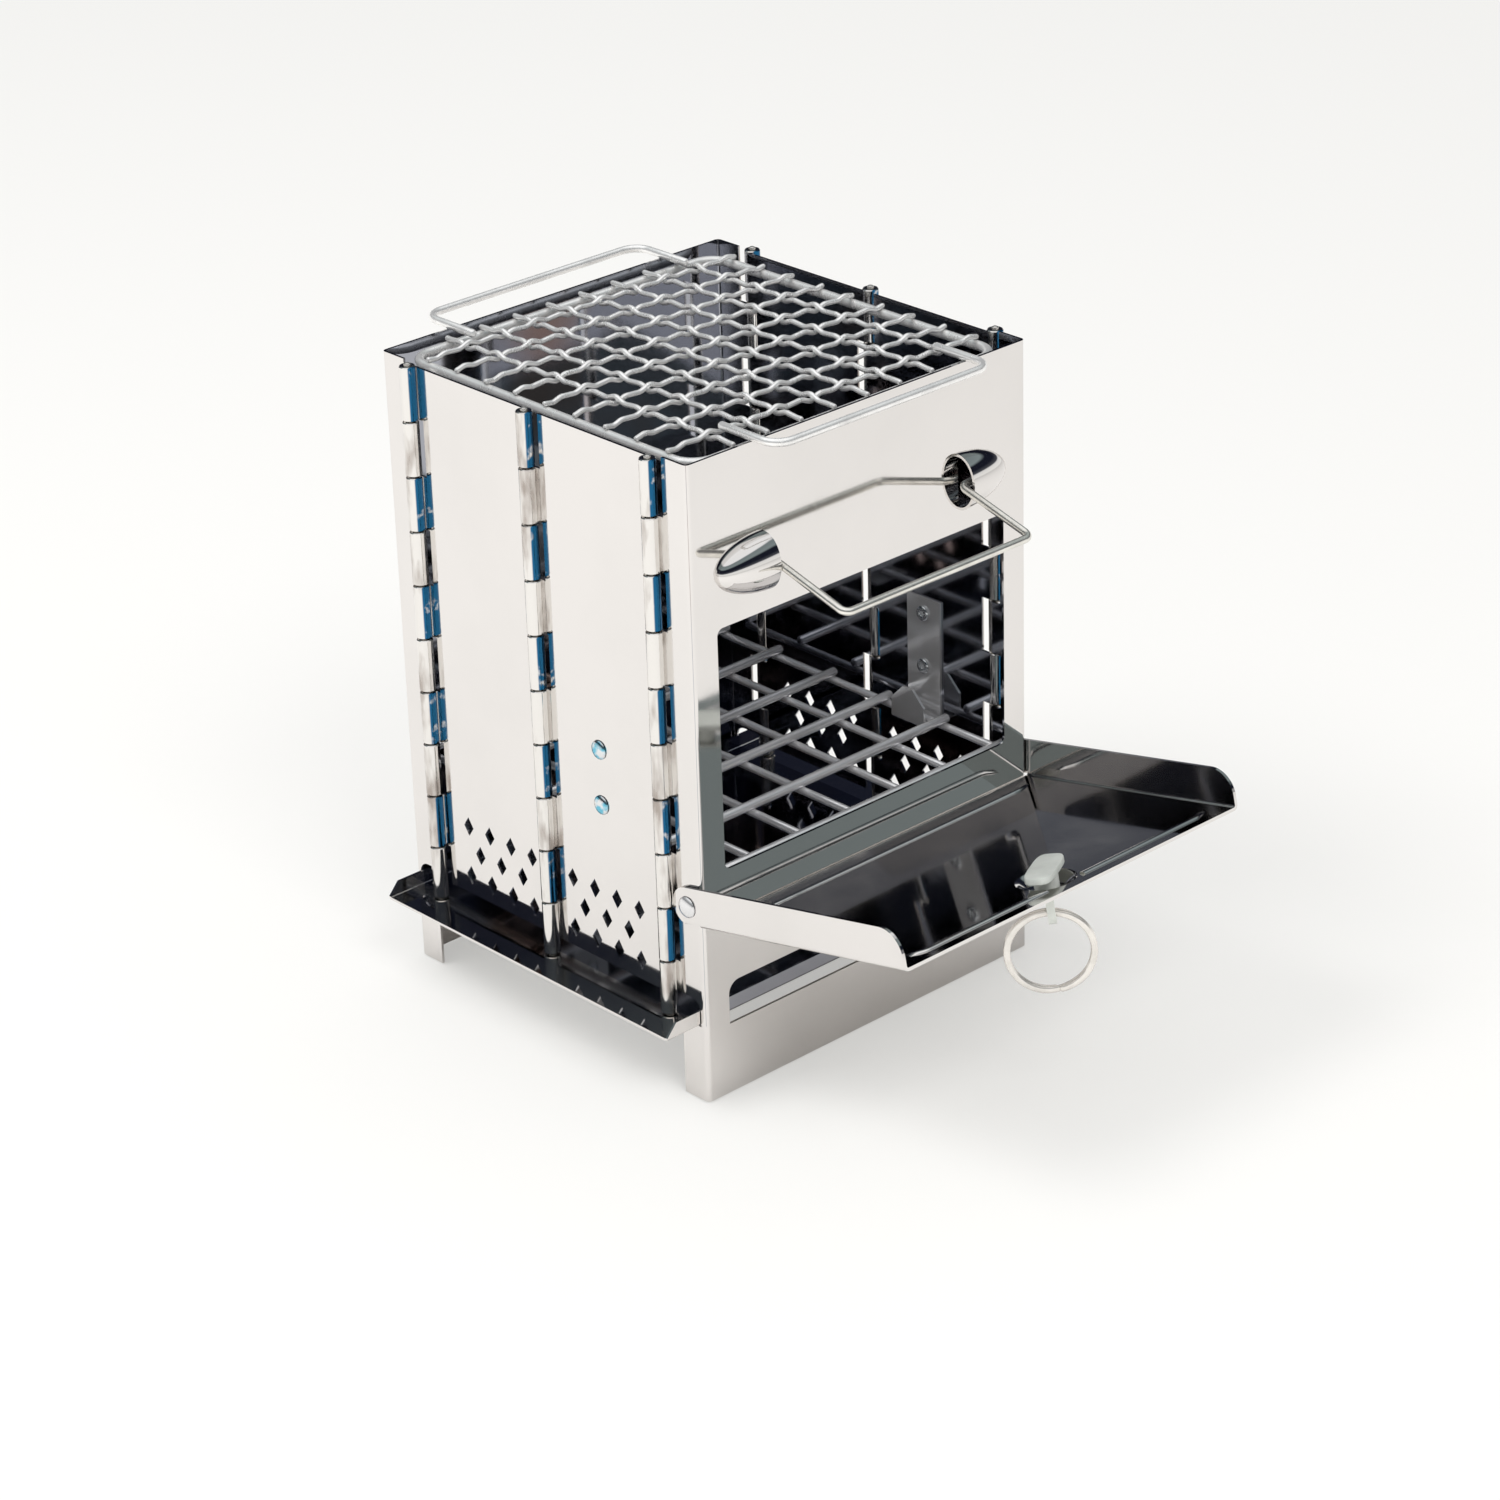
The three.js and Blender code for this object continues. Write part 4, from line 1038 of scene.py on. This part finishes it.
def make_bail():
    droop = math.radians(BAIL_DROOP)
    y = -HALF_DEPTH - BAIL_OUT
    far = (y - BAIL_LEG * math.cos(droop), BAIL_Z - BAIL_LEG * math.sin(droop))
    corners = [(-BAIL_HALF - BAIL_PIN, y, BAIL_Z), (-BAIL_HALF, y, BAIL_Z), (-BAIL_HALF, *far),
               (BAIL_HALF, *far), (BAIL_HALF, y, BAIL_Z), (BAIL_HALF + BAIL_PIN, y, BAIL_Z)]
    path = rounded_path(corners, BAIL_BEND, steps=9)
    across = (0, math.sin(droop), -math.cos(droop))
    Shape().add(*tube(path, BAIL_WIRE, across, sides=16)).piece(
        "bail_wire", "bail", WIRE_SLOT, bail_wire, ["bail_handle"], 60)


# ------------------------------------------------------------------ flap, latch and ring


def on_flap(points):
    """The flap's own frame (x, along, up from the outer face) turned open about its pivot."""
    points = np.asarray(points, float)
    sine, cosine = math.sin(FLAP_TURN), math.cos(FLAP_TURN)
    y = points[..., 1] * cosine + (points[..., 2] - FLAP_RISE) * sine + FLAP_PIVOT[0]
    z = -points[..., 1] * sine + (points[..., 2] - FLAP_RISE) * cosine + FLAP_PIVOT[1]
    return np.stack([points[..., 0], y, z], -1)


def flap_direction(direction):
    return on_flap(direction) - on_flap(np.zeros(3))


def make_flap():
    def place(across, rise, along, direction=False):
        laid = np.stack([across, along, rise], 1)
        return flap_direction(laid) if direction else on_flap(laid)
    surface, lines = channel(FLAP_HALF, FLAP_BEND, place)
    wall = wall_place(FLAP_HALF, FLAP_BEND)
    web = FLAP_HALF - FLAP_BEND
    foot = wall(FLAP_BEND)
    right = [(web, FLAP_REAR), (foot - 0.4, FLAP_REAR)]
    right += [(wall(z), y) for y, z in arc((0, FLAP_RISE), FLAP_HEEL, -65, 90, 12)]
    right += [(wall(z), y) for y, z in
              arc((FLAP_FRONT + FLAP_CORNER, FLAP_SIDE - FLAP_CORNER), FLAP_CORNER, 90, 180, 12)]
    right += [(foot - 0.6, FLAP_FRONT), (web, FLAP_FRONT)]
    loop = right + [(-u, t) for u, t in reversed(right)]
    hole = [(DISH * math.cos(t), LATCH_Y + DISH * math.sin(t))
            for t in np.linspace(0, 2 * math.pi, 49)[:-1]]
    sheet_metal("feed_flap_sheet", [loop, hole], lines, surface, FLAP_SHEET, "feed_flap",
                sheet_finish, ["feed_flap"])

    axis = flap_direction((0, 0, 1))
    centre = on_flap((0, LATCH_Y, 0))
    deep, thick = DISH_DEEP, FLAP_SHEET
    profile = [(DISH, 0), (DISH - 0.9, -0.35), (DISH_FLOOR + 0.7, -deep + 0.35),
               (DISH_FLOOR, -deep), (3.1, -deep), (3.1, -deep + thick),
               (DISH_FLOOR - 0.4, -deep + thick), (DISH_FLOOR + 0.3, -deep + thick + 0.35),
               (DISH - 1.3, thick - 0.35), (DISH, thick)]
    Shape().add(*revolve(profile, centre, axis, 48)).piece(
        "latch_dish", "feed_flap", SHEET_SLOT, sheet_finish, sharp=30)

    beads = Shape()
    for y, gap in ((FLAP_REAR - 8.0, 0.0), (FLAP_FRONT + 5.0, DISH - 1.5)):
        spans = [(-60.5, 60.5)] if not gap else [(-60.5, -gap), (gap, 60.5)]
        for start, end in spans:
            run = np.linspace(start, end, 60)
            swing = np.clip((np.abs(run) - 55) / 5.5, 0, 1)
            offset = 1.6 * (3 * swing ** 2 - 2 * swing ** 3)
            fade = np.clip((60.5 - np.abs(run)) / 2.0, 0.12, 1)
            turn = np.linspace(0, math.pi, 9)
            out = np.concatenate([np.cos(turn), [0]])
            up = np.concatenate([np.sin(turn), [-0.35]])
            points = np.stack([
                run[:, None] + 0 * out,
                (y + offset)[:, None] + 1.15 * out[None],
                FLAP_SHEET - 0.02 + 0.62 * fade[:, None] * up[None]], -1)
            faces = grid_faces(len(run), len(out), False, True)
            count = len(out)
            faces += [list(range(count))[::-1],
                      [(len(run) - 1) * count + k for k in range(count)]]
            laid = points.reshape(-1, 3)
            beads.add(on_flap(laid), outward(laid, faces))
    beads.piece("flap_beads", "feed_flap", SHEET_SLOT, sheet_finish, sharp=40)

    grip = FLAP_HALF - (HALF_WIDTH - SHEET) + 0.3
    profile = rivet_profile(grip, 3.3, 1.3, 1.75, 2.7, 0.8)
    for hand, side in (("right", 1), ("left", -1)):
        seat = on_flap((side * (FLAP_HALF + 0.15 - grip), 0, FLAP_RISE))
        Shape().add(*revolve(profile, seat, (side, 0, 0), 32)).piece(
            f"{hand}_arm_rivet", "feed_flap", SHEET_SLOT, hearth_finish,
            [f"{hand}_flap_rivet"], 50)


def make_latch():
    turn = math.radians(30)
    along = np.array([math.cos(turn), math.sin(turn)])
    across = np.array([-math.sin(turn), math.cos(turn)])
    angle = np.linspace(0, 2 * math.pi, 57)[:-1]
    power = 0.52
    shape_x = np.sign(np.cos(angle)) * np.abs(np.cos(angle)) ** power
    shape_y = np.sign(np.sin(angle)) * np.abs(np.sin(angle)) ** power
    bottom, top = 2.9, 5.1
    levels = [(0.0, bottom), (0.72, bottom), (0.94, bottom + 0.05), (1.0, bottom + 0.35),
              (1.0, top - 0.45), (0.96, top - 0.1), (0.86, top), (0.0, top)]
    rings = []
    for share, z in levels[1:-1]:
        inset = 4.3 * (1 - share)
        flat = ((10.5 - inset) * shape_x[:, None] * along
                + (4.3 - inset) * shape_y[:, None] * across)
        rings.append(np.column_stack([flat[:, 0], flat[:, 1] + LATCH_Y, np.full(len(angle), z)]))
    points = np.concatenate(rings + [[(0, LATCH_Y, bottom), (0, LATCH_Y, top)]])
    sides = len(angle)
    faces = grid_faces(len(rings), sides, False, True)
    low, high, far = len(points) - 2, len(points) - 1, (len(rings) - 1) * sides
    faces += [[low, (k + 1) % sides, k] for k in range(sides)]
    faces += [[high, far + k, far + (k + 1) % sides] for k in range(sides)]
    cam = Shape().add(on_flap(points), outward(points, faces))
    axis = flap_direction((0, 0, 1))
    hub = [(0, 3.6), (3.7, 3.6), (3.7, -1.2), (3.3, -1.3), (0, -1.3)]
    cam.add(*revolve(hub, on_flap((0, LATCH_Y, 0)), axis, 32))
    cam.piece("latch_cam_cast", "latch", CAST_SLOT, cast_metal, ["latch_cam"], 35)

    spin = math.radians(47)
    wide = np.array([math.cos(spin), math.sin(spin), 0])
    thick = np.array([-math.sin(spin), math.cos(spin), 0])
    eye_mid, eye_top, half, hole = -7.8, -2.9, 4.5, 2.7
    loop = [(half, eye_top), (-half, eye_top)] + arc((0, eye_mid), half, 180, 360, 20)
    ring = arc((0, eye_mid), hole, 0, 345, 24)

    def surface(u, t):
        centre = np.array([0, LATCH_Y, 0])
        laid = centre + u[:, None] * wide + t[:, None] * [0, 0, 1] - 1.2 * thick
        out = np.tile(flap_direction(-thick), (len(u), 1))
        return on_flap(laid), out

    sheet_metal("latch_eye", [loop, ring], [], surface, 2.4, "latch", cast_metal,
                ["latch_stem"])
    stem = [(0, -3.6), (2.9, -3.6), (2.9, -1.9), (0, -1.9)]
    Shape().add(*revolve(stem, on_flap((0, LATCH_Y, 0)), axis, 28)).piece(
        "latch_stem_post", "latch", CAST_SLOT, cast_metal)


def make_split_ring():
    """Two turns of flattened wire side by side: the station along the axis steps from one
    side to the other through the middle of the coil, leaving the slit between the turns."""
    low, high = node_box("split_ring")
    centre = (low + high) / 2
    radius = 12.5
    facing = math.radians(47)
    axis = np.array([math.cos(facing), math.sin(facing), 0])
    level = np.array([math.sin(facing), -math.cos(facing), 0])
    upright = np.array([0, 0, 1.0])
    turn = np.linspace(math.radians(-78), math.radians(-78 + 718), 221)
    share = (turn - turn[0]) / (turn[-1] - turn[0])
    step = np.clip((share - 0.46) / 0.08, 0, 1)
    station = 0.62 * (2 * (3 * step ** 2 - 2 * step ** 3) - 1)
    path = (centre + radius * (np.cos(turn)[:, None] * level + np.sin(turn)[:, None] * upright)
            + station[:, None] * axis)
    angle = np.arange(12) * 2 * math.pi / 12
    section = np.stack([
        1.0 * np.sign(np.cos(angle)) * np.abs(np.cos(angle)) ** 0.7,
        0.56 * np.sign(np.sin(angle)) * np.abs(np.sin(angle)) ** 0.7], 1)
    Shape().add(*tube(path, 1.0, axis, section=section)).piece(
        "split_ring_coil", "pull_ring", RING_SLOT, ring_metal, ["split_ring"], 60)


make_panels()
make_lugs()
make_leaves()
make_hinges()
make_brackets()
make_fuel_grid()
make_ash_tray()
make_grate()
make_bail()
make_flap()
make_latch()
make_split_ring()
